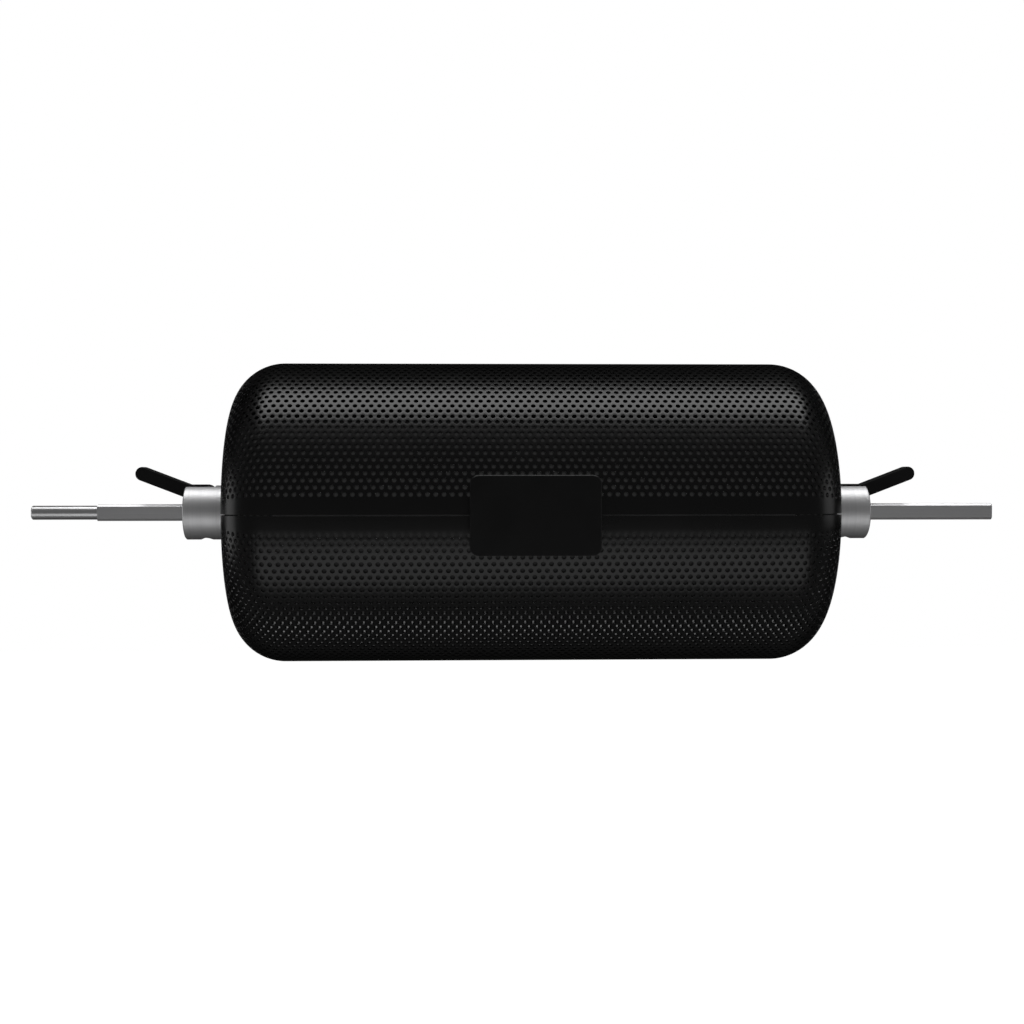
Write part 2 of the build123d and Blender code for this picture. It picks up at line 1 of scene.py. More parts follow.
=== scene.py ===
"""Looks of the rotisserie tumble basket: its perforated drum, the finish of every piece, studio and camera.

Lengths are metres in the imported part's own frame: the spit runs along +X, +Z is up and -Y is the latch
side. "Out" is a distance along the spit from the drum's middle. A place on the drum's skin is given by two
numbers: "run", the distance along the skin from the middle towards an end wall, and "turn", the angle round
the spit from the front seam over the lid (or under the lower shell) to the rear seam.
"""

import json
import logging
import math
from abc import ABC, abstractmethod
from dataclasses import dataclass, field
from enum import Enum, IntEnum

import bpy
import numpy as np
from mathutils import Matrix, Vector
from mathutils.geometry import delaunay_2d_cdt


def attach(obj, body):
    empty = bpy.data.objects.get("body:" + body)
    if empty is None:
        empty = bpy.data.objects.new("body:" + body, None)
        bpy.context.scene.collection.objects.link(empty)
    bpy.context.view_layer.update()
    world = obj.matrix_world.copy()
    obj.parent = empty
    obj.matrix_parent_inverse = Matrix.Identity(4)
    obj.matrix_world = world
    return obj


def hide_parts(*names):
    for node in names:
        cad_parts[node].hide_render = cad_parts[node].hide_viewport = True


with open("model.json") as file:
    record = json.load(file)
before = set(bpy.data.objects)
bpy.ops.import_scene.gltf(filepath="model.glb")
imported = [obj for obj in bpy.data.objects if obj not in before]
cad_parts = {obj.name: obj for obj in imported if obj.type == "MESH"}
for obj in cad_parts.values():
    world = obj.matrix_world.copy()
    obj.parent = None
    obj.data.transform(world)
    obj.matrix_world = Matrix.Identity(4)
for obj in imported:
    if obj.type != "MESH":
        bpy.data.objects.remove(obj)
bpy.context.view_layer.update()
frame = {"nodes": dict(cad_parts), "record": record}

log = logging.getLogger("tumble_basket")

Colour = tuple[float, float, float]
Point = tuple[float, float, float]
Span = tuple[float, float]
Socket = bpy.types.NodeSocket

MM = 0.001

# The drum's middle along the spit.
MIDDLE_X = 281 * MM

# Mesh attributes: 1 on the faces of the sheet's cut edges, and a card point's own run and turn.
CUT_MARK = "cut_edge"
SKIN_PLACE = "skin_place"

# Most of a noise's values lie between these.
NOISE_SPAN: Span = (0.3, 0.7)


# ---- shader trees -------------------------------------------------------------------------------------
class Graph:
    """Adds nodes to one shader tree and joins them."""

    def __init__(self, tree: bpy.types.NodeTree) -> None:
        """Keep the tree that the nodes go into."""
        self.tree = tree

    def add(self, kind: str, inputs: dict | None = None, **settings: object) -> bpy.types.Node:
        """Add one node.

        Args:
            kind: The node's type name.
            inputs: For an input's name or number, its value or the socket that feeds it.
            **settings: Attributes of the node itself.

        Returns:
            The new node.
        """
        node = self.tree.nodes.new(kind)
        for name, value in settings.items():
            setattr(node, name, value)
        for key, value in (inputs or {}).items():
            self.feed(node.inputs[key], value)
        return node

    def feed(self, socket: Socket, value: object) -> None:
        """Join a socket to another, or set its value.

        Args:
            socket: The input to feed.
            value: The output that feeds it, or the value that it takes.
        """
        if isinstance(value, bpy.types.NodeSocket):
            self.tree.links.new(value, socket)
        else:
            socket.default_value = value

    def math(self, operation: str, first: object, second: object = 0.0) -> Socket:
        """Add a math node and give its result."""
        return self.add("ShaderNodeMath", {0: first, 1: second}, operation=operation).outputs[0]

    def length(self, **parts: object) -> Socket:
        """Give the length of a vector from the parts that it has, named X, Y and Z."""
        vector = self.add("ShaderNodeCombineXYZ", parts).outputs[0]
        return self.add("ShaderNodeVectorMath", {0: vector}, operation="LENGTH").outputs["Value"]

    def bump(self, height: Socket, relief: float) -> Socket:
        """Raise a surface by a height from 0 to 1 times its relief, and give the normal."""
        return self.add("ShaderNodeBump", {"Strength": 1.0, "Distance": relief, "Height": height}).outputs[0]

    def coordinates(self) -> tuple[Socket, Socket, Socket]:
        """Give a surface point's x, y and z in the object's own frame."""
        place = self.add("ShaderNodeTexCoord").outputs["Object"]
        return tuple(self.add("ShaderNodeSeparateXYZ", {0: place}).outputs)

    def remap(self, value: Socket, source: Span, target: Span) -> Socket:
        """Carry a value from one range to another, clamped to it."""
        ends = {0: value, 1: source[0], 2: source[1], 3: target[0], 4: target[1]}
        return self.add("ShaderNodeMapRange", ends).outputs[0]

    def blend(self, share: Socket, first: object, second: object) -> Socket:
        """Mix two colours.

        Args:
            share: The second colour's share, from 0 to 1.
            first: A colour, or the socket that gives it.
            second: The other colour, or the socket that gives it.

        Returns:
            The mixed colour.
        """
        node = self.add("ShaderNodeMix", data_type="RGBA")
        self.feed(node.inputs["Factor"], share)
        for socket, colour in ((node.inputs[6], first), (node.inputs[7], second)):
            self.feed(socket, colour if isinstance(colour, bpy.types.NodeSocket) else (*colour, 1.0))
        return node.outputs[2]


def empty_material(name: str) -> tuple[bpy.types.Material, Graph]:
    """Make a material with nothing in its tree.

    Args:
        name: The material's name.

    Returns:
        The material, and the graph of its tree.
    """
    material = bpy.data.materials.new(name)
    material.use_nodes = True
    material.node_tree.nodes.clear()
    return material, Graph(material.node_tree)


class Effects:
    """Shader node groups that several finishes place with their own values, each built once."""

    def __init__(self) -> None:
        """Start with no group built."""
        self.built: dict[str, bpy.types.NodeTree] = {}

    def place(self, graph: Graph, name: str, **values: object) -> bpy.types.Node:
        """Place one effect in a material.

        Args:
            graph: The material's tree.
            name: The name of the method that builds the effect.
            **values: The effect's inputs, spaces written as underscores.

        Returns:
            The group node, whose outputs the material uses.
        """
        if name not in self.built:
            self.built[name] = getattr(self, name)()
        node = graph.add("ShaderNodeGroup", node_tree=self.built[name])
        for key, value in values.items():
            graph.feed(node.inputs[key.replace("_", " ")], value)
        return node

    @staticmethod
    def start(name: str, inputs: dict[str, float | None],
              outputs: tuple[str, ...]) -> tuple[Graph, dict[str, Socket], dict[str, Socket]]:
        """Open a node group.

        Args:
            name: The group's name.
            inputs: Default of each number input; None makes a vector input.
            outputs: Names of the number outputs.

        Returns:
            The group's graph, its input sockets by name, and its output sockets by name.
        """
        tree = bpy.data.node_groups.new(name, "ShaderNodeTree")
        for label, default in inputs.items():
            kind = "NodeSocketVector" if default is None else "NodeSocketFloat"
            socket = tree.interface.new_socket(label, in_out="INPUT", socket_type=kind)
            if default is not None:
                socket.default_value = default
        for label in outputs:
            tree.interface.new_socket(label, in_out="OUTPUT", socket_type="NodeSocketFloat")
        graph = Graph(tree)
        given = graph.add("NodeGroupInput").outputs
        wanted = graph.add("NodeGroupOutput").inputs
        return graph, {label: given[label] for label in inputs}, {label: wanted[label] for label in outputs}

    @staticmethod
    def noise(graph: Graph, vector: Socket, size: Socket, detail: float) -> Socket:
        """Add a noise from 0 to 1.

        Args:
            graph: The group's graph.
            vector: The coordinates that it is laid on.
            size: How far across its blots are.
            detail: How many finer layers it has.

        Returns:
            The noise's value.
        """
        scaled = graph.add("ShaderNodeVectorMath", {0: vector, "Scale": graph.math("DIVIDE", 1.0, size)},
                           operation="SCALE")
        settings = {"Vector": scaled.outputs[0], "Scale": 1.0, "Detail": detail, "Roughness": 0.55}
        return graph.add("ShaderNodeTexNoise", settings).outputs[0]

    def fine_grain(self) -> bpy.types.NodeTree:
        """Build the orange peel of a baked coating: a small bumpy grain, and large soft patches.

        Returns:
            The group.
        """
        inputs = {"Grain": 0.5 * MM, "Patch": 30 * MM}
        graph, given, wanted = self.start("fine grain", inputs, ("Height", "Patches"))
        place = graph.add("ShaderNodeTexCoord").outputs["Object"]
        graph.feed(wanted["Height"], self.noise(graph, place, given["Grain"], 1.0))
        graph.feed(wanted["Patches"], self.noise(graph, place, given["Patch"], 3.0))
        return graph.tree

    def tool_marks(self) -> bpy.types.NodeTree:
        """Build fine lines left by a tool, and broader streaks along them.

        They follow a vector that the material turns.

        Returns:
            The group.
        """
        inputs = {"Vector": None, "Spacing": 0.2 * MM, "Streak": 1.5 * MM}
        graph, given, wanted = self.start("tool marks", inputs, ("Lines", "Streaks"))
        graph.feed(wanted["Lines"], self.noise(graph, given["Vector"], given["Spacing"], 2.0))
        graph.feed(wanted["Streaks"], self.noise(graph, given["Vector"], given["Streak"], 3.0))
        return graph.tree

    def edge_glint_and_wear(self) -> bpy.types.NodeTree:
        """Build a mask of a piece's sharp edges, broken up as handling breaks it up.

        The finishes paint these edges lighter: partly worn edges, partly painted highlight.

        Returns:
            The group.
        """
        flat_to_sharp = (0.995, 0.90)
        patch_span = (0.35, 0.65)
        patch_glint_and_wear = (0.15, 1.0)
        graph, given, wanted = self.start("edge wear", {"Width": 0.4 * MM, "Break up": 4 * MM}, ("Mask",))
        bevel = graph.add("ShaderNodeBevel", {"Radius": given["Width"]}, samples=4).outputs[0]
        plain = graph.add("ShaderNodeNewGeometry").outputs["Normal"]
        likeness = graph.add("ShaderNodeVectorMath", {0: bevel, 1: plain}, operation="DOT_PRODUCT")
        edge = graph.remap(likeness.outputs["Value"], flat_to_sharp, (0.0, 1.0))
        place = graph.add("ShaderNodeTexCoord").outputs["Object"]
        patches = self.noise(graph, place, given["Break up"], 4.0)
        broken_up = graph.remap(patches, patch_span, patch_glint_and_wear)
        graph.feed(wanted["Mask"], graph.math("MULTIPLY", edge, broken_up))
        return graph.tree


# ---- finishes -----------------------------------------------------------------------------------------
class Lay(Enum):
    """Which way a tool's lines run on bare metal."""

    DRAWN = "along the spit"
    TURNED = "round the spit"
    ROLLED = "up the sheet"


@dataclass(frozen=True)
class Finish(ABC):
    """A surface of the object. `slot` is the record's material slot that it belongs to."""

    slot: str

    @abstractmethod
    def surface(self, graph: Graph, shader: bpy.types.Node, effects: Effects) -> None:
        """Add this finish's nodes to the tree and feed the shader.

        Args:
            graph: The material's tree.
            shader: The material's shader.
            effects: The shared node groups.
        """

    def material(self, effects: Effects) -> bpy.types.Material:
        """Build the finish's material.

        Args:
            effects: The shared node groups.

        Returns:
            The new material.
        """
        material, graph = empty_material(self.slot)
        shader = graph.add("ShaderNodeBsdfPrincipled")
        graph.add("ShaderNodeOutputMaterial", {"Surface": shader.outputs[0]})
        self.surface(graph, shader, effects)
        return material


@dataclass(frozen=True)
class Coating(Finish):
    """Black heat-resistant coating baked on steel."""

    colour: Colour
    # Colour of the lighter edges: partly worn coating, partly painted highlight.
    glint_and_wear_tone: Colour = (0.03, 0.03, 0.032)
    tone_swing: float = 0.2
    roughness: float = 0.3
    swing: float = 0.03
    gloss: float = 0.35
    grain: float = 0.45 * MM
    relief: float = 0.002 * MM
    patch: float = 25 * MM
    # Width of those lighter edges; 0 gives none.
    glint_and_wear_edge: float = 0.0

    def surface(self, graph: Graph, shader: bpy.types.Node, effects: Effects) -> None:
        """Add a fine grain, roughness that drifts in patches, and, where set, lighter edges: worn and painted
        highlight.

        Args:
            graph: The material's tree.
            shader: The material's shader.
            effects: The shared node groups.
        """
        grain = effects.place(graph, "fine_grain", Grain=self.grain, Patch=self.patch).outputs
        deep = tuple((1 - self.tone_swing) * part for part in self.colour)
        full = tuple((1 + self.tone_swing) * part for part in self.colour)
        tone = graph.blend(graph.remap(grain["Patches"], NOISE_SPAN, (0.0, 1.0)), deep, full)
        # Lighter edges: partly worn coating, partly painted highlight.
        if self.glint_and_wear_edge:
            glint_and_wear = effects.place(graph, "edge_glint_and_wear", Width=self.glint_and_wear_edge).outputs["Mask"]
            tone = graph.blend(glint_and_wear, tone, self.glint_and_wear_tone)
        shader.inputs["Specular IOR Level"].default_value = self.gloss
        graph.feed(shader.inputs["Base Color"], tone)
        bright_and_dull = (self.roughness - self.swing, self.roughness + self.swing)
        graph.feed(shader.inputs["Roughness"], graph.remap(grain["Patches"], NOISE_SPAN, bright_and_dull))
        graph.feed(shader.inputs["Normal"], graph.bump(grain["Height"], self.relief))
        self.finish_cut_edges(graph, shader, tone)

    def finish_cut_edges(self, graph: Graph, shader: bpy.types.Node, tone: Socket) -> None:
        """Nothing more where the sheet has no punched holes."""


@dataclass(frozen=True)
class PunchedCoating(Coating):
    """Coating of the perforated sheet, steel on its holes' walls, lighter near the ends as a painted
    highlight.
    """

    cut_edge: Colour = (0.10, 0.10, 0.102)
    # Lighter steel near the drum's ends, a painted highlight, between these distances from the middle.
    end_glint_steel: Colour = (0.45, 0.45, 0.455)
    end_glint_out: Span = (158 * MM, 172 * MM)

    def finish_cut_edges(self, graph: Graph, shader: bpy.types.Node, tone: Socket) -> None:
        """Let steel through on the faces that the panel marks as cut, lighter near the ends as a painted
        highlight.

        Args:
            graph: The material's tree.
            shader: The material's shader.
            tone: The coating's colour.
        """
        cut = graph.add("ShaderNodeAttribute", attribute_name=CUT_MARK).outputs["Fac"]
        x, _, _ = graph.coordinates()
        out = graph.math("ABSOLUTE", graph.math("SUBTRACT", x, MIDDLE_X))
        # Painted highlight: the cut edges' steel turns lighter towards the drum's ends.
        end_glint = graph.remap(out, self.end_glint_out, (0.0, 1.0))
        steel = graph.blend(end_glint, self.cut_edge, self.end_glint_steel)
        graph.feed(shader.inputs["Base Color"], graph.blend(cut, tone, steel))
        graph.feed(shader.inputs["Metallic"], cut)


@dataclass(frozen=True)
class BareSteel(Finish):
    """Uncoated steel with the lines that its last tool left."""

    colour: Colour
    lay: Lay = Lay.TURNED
    roughness: float = 0.3
    swing: float = 0.02
    spacing: float = 0.15 * MM
    streak: float = 1.2 * MM
    relief: float = 0.0006 * MM
    # Width of the brighter edges, which are partly worn steel and partly painted highlight.
    glint_and_wear_edge: float = 0.25 * MM
    dark_streak: float = 0.96
    light_streak: float = 1.03
    # Colour of those brighter edges.
    bright: Colour = (0.86, 0.86, 0.87)
    journal_end: float | None = None
    journal_roughness: float = 0.34
    slow: float = 0.02

    def lines_vector(self, graph: Graph, lay: Lay) -> Socket:
        """Turn the coordinates so that they change fast across the tool's lines and slowly along them.

        Args:
            graph: The material's tree.
            lay: The way that the lines run.

        Returns:
            The turned coordinates.
        """
        x, y, z = graph.coordinates()
        if lay is Lay.TURNED:
            x = graph.math("ADD", x, graph.length(Y=y, Z=z))
            y = graph.math("MULTIPLY", y, self.slow)
            z = graph.math("MULTIPLY", z, self.slow)
        elif lay is Lay.DRAWN:
            x = graph.math("MULTIPLY", x, self.slow)
        else:
            z = graph.math("MULTIPLY", z, self.slow)
        return graph.add("ShaderNodeCombineXYZ", {0: x, 1: y, 2: z}).outputs[0]

    def surface(self, graph: Graph, shader: bpy.types.Node, effects: Effects) -> None:
        """Add fine lines and streaks, brighter edges (worn and painted highlight), and any turned journal.

        Args:
            graph: The material's tree.
            shader: The material's shader.
            effects: The shared node groups.
        """
        vector = self.lines_vector(graph, self.lay)
        roughness = self.roughness
        if self.journal_end is not None:
            x, _, _ = graph.coordinates()
            turned = graph.math("LESS_THAN", x, self.journal_end)
            choose = graph.add("ShaderNodeMix", data_type="VECTOR")
            graph.feed(choose.inputs["Factor"], turned)
            graph.feed(choose.inputs[4], vector)
            graph.feed(choose.inputs[5], self.lines_vector(graph, Lay.TURNED))
            vector = choose.outputs[1]
            roughness = graph.remap(turned, (0.0, 1.0), (self.roughness, self.journal_roughness))
        sizes = {"Spacing": self.spacing, "Streak": self.streak}
        marks = effects.place(graph, "tool_marks", Vector=vector, **sizes).outputs
        glint_and_wear = effects.place(graph, "edge_glint_and_wear", Width=self.glint_and_wear_edge).outputs["Mask"]
        streaks = graph.remap(marks["Streaks"], NOISE_SPAN, (0.0, 1.0))
        dark = tuple(self.dark_streak * part for part in self.colour)
        light = tuple(min(1.0, self.light_streak * part) for part in self.colour)
        # Brighter edges: partly worn steel, partly painted highlight.
        tone = graph.blend(glint_and_wear, graph.blend(streaks, dark, light), self.bright)
        shader.inputs["Metallic"].default_value = 1.0
        graph.feed(shader.inputs["Base Color"], tone)
        drift = graph.remap(streaks, (0.0, 1.0), (self.swing, -self.swing))
        graph.feed(shader.inputs["Roughness"], graph.math("ADD", drift, roughness))
        graph.feed(shader.inputs["Normal"], graph.bump(marks["Lines"], self.relief))


class Finishes:
    """Every finish of the basket, by the record's slot, with its material built on first use."""

    LIST: tuple[Finish, ...] = (
        PunchedCoating("shell_black", (0.0012, 0.0012, 0.0013), roughness=0.28, swing=0.015, gloss=0.47),
        Coating("guide_strip", (0.090, 0.090, 0.092), roughness=0.40),
        Coating("lever_black", (0.0076, 0.0076, 0.0078), roughness=0.55, gloss=0.10, grain=0.3 * MM,
                relief=0.01 * MM),
        # The lighter edges given here are partly worn and partly painted highlight.
        Coating("latch_black", (0.0026, 0.0026, 0.0027), roughness=0.42, gloss=0.3, glint_and_wear_edge=0.3 * MM),
        Coating("hardware_black", (0.0060, 0.0060, 0.0062), roughness=0.36, glint_and_wear_edge=0.35 * MM),
        Coating("rivet_black", (0.0080, 0.0080, 0.0083), roughness=0.34, glint_and_wear_edge=0.5 * MM,
                glint_and_wear_tone=(0.12, 0.12, 0.125)),
        BareSteel("spit_steel", (0.83, 0.83, 0.84), lay=Lay.DRAWN, roughness=0.42, journal_end=20 * MM),
        BareSteel("hub_metal", (0.88, 0.88, 0.89), roughness=0.49),
        BareSteel("plate_steel", (0.50, 0.50, 0.51), lay=Lay.ROLLED, roughness=0.42),
        BareSteel("pin_steel", (0.55, 0.55, 0.56), roughness=0.24),
        BareSteel("spring_steel", (0.42, 0.42, 0.43), lay=Lay.ROLLED, roughness=0.33),
    )

    def __init__(self, effects: Effects) -> None:
        """Keep the shared effects, and the finishes by slot.

        Args:
            effects: The shared node groups.
        """
        self.effects = effects
        self.by_slot = {finish.slot: finish for finish in self.LIST}
        self.made: dict[str, bpy.types.Material] = {}

    def __getitem__(self, slot: str) -> bpy.types.Material:
        """Look up a material, which is built when it is first asked for.

        Args:
            slot: A material slot of the record.

        Returns:
            The slot's material.
        """
        if slot not in self.made:
            self.made[slot] = self.by_slot[slot].material(self.effects)
        return self.made[slot]

    def dress(self, piece: bpy.types.Object, slot: str) -> None:
        """Give a piece the slot's material in place of any it has."""
        piece.data.materials.clear()
        piece.data.materials.append(self[slot])

    def dress_node(self, name: str, finish: str | None = None) -> None:
        """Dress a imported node.

        Args:
            name: The node.
            finish: The slot whose finish it gets; if left out, its own slot in the record.
        """
        slots = {part["node"]: part["material_slot"] for part in frame["record"]["subparts"]}
        self.dress(frame["nodes"][name], finish or slots[name])
        log.info("%s: finish %s", name, finish or slots[name])


# ---- the drum -----------------------------------------------------------------------------------------
class Half(Enum):
    """The drum's two shells: which way their turn goes from the front seam."""

    LOWER = -1
    UPPER = 1


class Panel(Enum):
    """The two stretches that each shell's mesh is made in."""

    FRONT = "front"
    REAR = "rear"


class Owner(IntEnum):
    """What a point of the flat pattern lies on, where it isn't the outline of a numbered hole."""

    PLAIN = -1
    SEAM = -2
    CUT = -3
    LEFT_END = -4
    RIGHT_END = -5


@dataclass(frozen=True)
class DrumShape:
    """The drum's skin: a surface turned round the spit, flat at the ends, with round corners and a barrel."""

    radius: float = 90.46 * MM
    half_length: float = 178 * MM
    corner: float = 31 * MM
    wall: float = 1.0 * MM
    seam_gap: float = 0.8 * MM

    @property
    def barrel(self) -> float:
        """Half the straight part's length."""
        return self.half_length - self.corner

    @property
    def corner_run(self) -> float:
        """Run at which a corner ends and its end wall starts."""
        return self.barrel + self.corner * math.pi / 2

    def run_at_radius(self, radius: float) -> float:
        """Run of a circle on an end wall."""
        return self.corner_run + self.radius - self.corner - radius

    def section(self, run: np.ndarray) -> tuple[np.ndarray, np.ndarray, np.ndarray, np.ndarray]:
        """Follow the skin along the spit.

        Args:
            run: Distances along the skin from the middle, negative to the left.

        Returns:
            Out, radius, and the outward normal's parts along and off the spit.
        """
        side = np.where(run < 0, -1.0, 1.0)
        distance = np.abs(run)
        lean = np.clip((distance - self.barrel) / self.corner, 0, math.pi / 2)
        out = np.minimum(distance, self.barrel) + self.corner * np.sin(lean)
        wall_run = np.maximum(distance - self.corner_run, 0)
        radius = self.radius - self.corner + self.corner * np.cos(lean) - wall_run
        return side * out, radius, side * np.sin(lean), np.cos(lean)

    def place(self, run: np.ndarray, turn: np.ndarray, half: Half,
              depth: float | np.ndarray = 0.0) -> tuple[np.ndarray, np.ndarray]:
        """Find points of a skin and their outward normals.

        Args:
            run: Distances along the skin.
            turn: Angles round the spit.
            half: The shell that the points lie on.
            depth: How far below the outer skin they lie.

        Returns:
            Points and normals, each an array of three columns.
        """
        out, radius, along, off = self.section(run)
        level = radius - depth * off
        x = MIDDLE_X + out - depth * along
        round_y = -np.cos(turn)
        round_z = half.value * np.sin(turn)
        points = np.column_stack([x, level * round_y, level * round_z])
        normals = np.column_stack([along, off * round_y, off * round_z])
        return points, normals

    def seam_turn(self, run: np.ndarray) -> np.ndarray:
        """Turn of the front seam's edge."""
        return np.arcsin(self.seam_gap / 2 / self.section(run)[1])


@dataclass(frozen=True)
class Perforation:
    """The pattern of round holes: rows run along the spit, and every other row is shifted half a pitch.

    No hole's radius is more than `web_share` of the distance to its neighbour. Each end wall has a plain boss
    of radius `boss_r`, and `plain_rows` lie beyond the first and last rows of holes.
    """

    first_turn: float = math.radians(7.4)
    turn_step: float = math.radians(2.5415)
    rows: int = 66
    plain_rows: int = 2
    pitch: float = 4.6 * MM
    hole_r: float = 1.42 * MM
    web_share: float = 0.37
    sides: int = 12
    boss_r: float = 38 * MM
    boss_edge: float = 7 * MM

    def hole_radius(self, skin_radius: np.ndarray) -> np.ndarray:
        """Give the holes' radius by how far the skin is from the spit: smaller where the rows close up."""
        near = np.hypot(self.pitch / 2, self.turn_step * skin_radius)
        return np.minimum(self.hole_r, self.web_share * near)

    def sites(self, shape: DrumShape) -> np.ndarray:
        """List every place of the pattern on one shell, and plain places on the edge of each boss.

        Args:
            shape: The drum.

        Returns:
            Rows of run, turn, hole radius and whether the pattern has a hole there.
        """
        last_hole = shape.run_at_radius(self.boss_r)
        limit = shape.run_at_radius(self.boss_r - self.boss_edge)
        found = []
        for row in range(-self.plain_rows, self.rows + self.plain_rows):
            shift = (row % 2) * self.pitch / 2
            count = int(limit / self.pitch) + 1
            run = np.arange(-count, count + 1) * self.pitch + shift
            run = run[np.abs(run) <= limit]
            radius = self.hole_radius(shape.section(run)[1])
            turn = np.full_like(run, self.first_turn + row * self.turn_step)
            pierced = (np.abs(run) <= last_hole) & (0 <= row < self.rows)
            found.append(np.column_stack([run, turn, radius, pierced]))
        return np.concatenate(found)


@dataclass(frozen=True)
class Seat:
    """A plain patch of the sheet under a fitting, with the holes of its rivets."""

    half: Half
    panel: Panel
    out: float
    half_width: float
    low: float
    high: float
    rivet_outs: tuple[float, ...]
    rivet_height: float
    margin: float = 1.5 * MM

    def covers(self, out: np.ndarray, height: np.ndarray) -> np.ndarray:
        """Tell which places lie in the patch, by their distances along the spit and from the seam."""
        beside = np.abs(out - self.out) < self.half_width + self.margin
        return beside & (height > self.low - self.margin) & (height < self.high + self.margin)


@dataclass
class ShellPanel:
    """One stretch of a perforated shell, a closed mesh with every hole cut through the sheet.

    The shell's two stretches meet on a line `cut_row` rows from the first, at least `cut_web` from any hole.
    The rims of the holes are rolled over by `rim_roll`. The map keeps `map_margin` free at its edges, has the
    inner skin `map_drop` from the outer one, and gives a border's cut edge a strip `map_strip` wide.
    """

    shape: DrumShape
    pattern: Perforation
    half: Half
    panel: Panel
    seats: tuple[Seat, ...]
    spigot_hole: float
    hub_rivet_turns: tuple[float, ...]
    hub_rivet_circle: float = 25 * MM
    rivet_hole: float = 1.3 * MM
    rivet_sides: int = 24
    cut_row: float = 35.5
    cut_web: float = 0.2 * MM
    rim_roll: float = 0.06
    edge_step: float = 2.3 * MM
    end_steps: int = 24
    same_place: float = 1e-6
    map_margin: float = 0.01
    map_drop: float = 0.5
    map_strip: float = 0.002

    BODIES = {Half.LOWER: "basket", Half.UPPER: "lid"}

    @property
    def name(self) -> str:
        """Name of the piece, such as upper_shell_front."""
        return f"{self.half.name.lower()}_shell_{self.panel.value}"

    @property
    def cut_turn(self) -> float:
        """Turn at which the shell's two stretches meet, midway between two rows of holes."""
        return self.pattern.first_turn + self.cut_row * self.pattern.turn_step

    def inside(self, turn: np.ndarray) -> np.ndarray:
        """Tell which turns belong to this stretch."""
        return turn < self.cut_turn if self.panel is Panel.FRONT else turn > self.cut_turn

    def edge_turn(self, run: np.ndarray) -> np.ndarray:
        """Give the turn of this stretch's own seam edge, front or rear."""
        front = self.shape.seam_turn(run)
        return front if self.panel is Panel.FRONT else math.pi - front

    def rivet_holes(self) -> list[tuple[float, float]]:
        """List the rivet holes in this stretch.

        Returns:
            Run and turn of each.
        """
        holes = []
        for seat in self.seats:
            turn = math.asin(seat.rivet_height / self.shape.radius)
            if seat.panel is Panel.REAR:
                turn = math.pi - turn
            holes += [(out, turn) for out in seat.rivet_outs]
        wall_run = self.shape.run_at_radius(self.hub_rivet_circle)
        holes += [(side * wall_run, turn) for turn in self.hub_rivet_turns for side in (-1, 1)]
        return [hole for hole in holes if self.inside(np.array(hole[1]))]

    def plan(self) -> tuple[np.ndarray, np.ndarray, np.ndarray, list[tuple[int, int]]]:
        """Lay out the flat pattern: hole outlines, plain points and the stretch's border.

        Returns:
            The points' run and turn, each point's owner (a hole's number, or an Owner), the holes' own
            centres, and the edges that the triangles must keep.
        """
        shape, pattern = self.shape, self.pattern
        sites = pattern.sites(shape)
        sites = sites[self.inside(sites[:, 1])]
        out, radius = shape.section(sites[:, 0])[:2]
        height = radius * np.sin(sites[:, 1])
        clear = radius * np.abs(self.edge_turn(sites[:, 0]) - sites[:, 1]) > pattern.hole_r
        pierced = sites[:, 3] > 0
        for seat in self.seats:
            pierced &= ~seat.covers(out, height)
        rivets = self.rivet_holes()
        for run, turn in rivets:
            gap = np.hypot(sites[:, 0] - run, radius * (sites[:, 1] - turn))
            clear &= gap > 2 * self.rivet_hole
        holes = [(run, turn, size, pattern.sides) for run, turn, size, _ in sites[pierced & clear]]
        holes += [(run, turn, self.rivet_hole, self.rivet_sides) for run, turn in rivets]
        places, owners, edges = [], [], []
        for number, (run, turn, size, sides) in enumerate(holes):
            step = 2 * math.pi * np.arange(sides) / sides
            along = run + size * np.cos(step)
            around = turn + size * np.sin(step) / shape.section(along)[1]
            first = sum(map(len, owners))
            places.append(np.column_stack([along, around]))
            owners.append(np.full(sides, number))
            edges += [(first + k, first + (k + 1) % sides) for k in range(sides)]
        for border, owner in self.borders():
            first = sum(map(len, owners))
            edges += [(first + k, first + k + 1) for k in range(len(border) - 1)]
            places.append(border)
            owners.append(np.full(len(border), owner))
        plain = sites[~pierced & clear][:, :2]
        places.append(plain)
        owners.append(np.full(len(plain), Owner.PLAIN))
        centres = np.array([hole[:2] for hole in holes])
        return np.concatenate(places), np.concatenate(owners), centres, edges

    def cut_line(self, limit: float) -> np.ndarray:
        """Line between the stretches, weaving between its two rows of holes where they close up.

        Args:
            limit: Run of the line's ends.

        Returns:
            Rows of run and turn.
        """
        half_pitch = self.pattern.pitch / 2
        last = int(limit / half_pitch)
        step = np.arange(-last, last + 1)
        radius = self.shape.section(step * half_pitch)[1]
        needed = self.pattern.hole_radius(radius) + self.cut_web - self.pattern.turn_step * radius / 2
        weave = np.where(radius < self.pattern.boss_r, 0, np.maximum(needed, 0) / radius)
        by_front_hole = step % 2 == int(self.cut_row) % 2
        turn = self.cut_turn + np.where(by_front_hole, weave, -weave)
        ends = np.array([(-limit, self.cut_turn), (limit, self.cut_turn)])
        return np.concatenate([ends[:1], np.column_stack([step * half_pitch, turn]), ends[1:]])

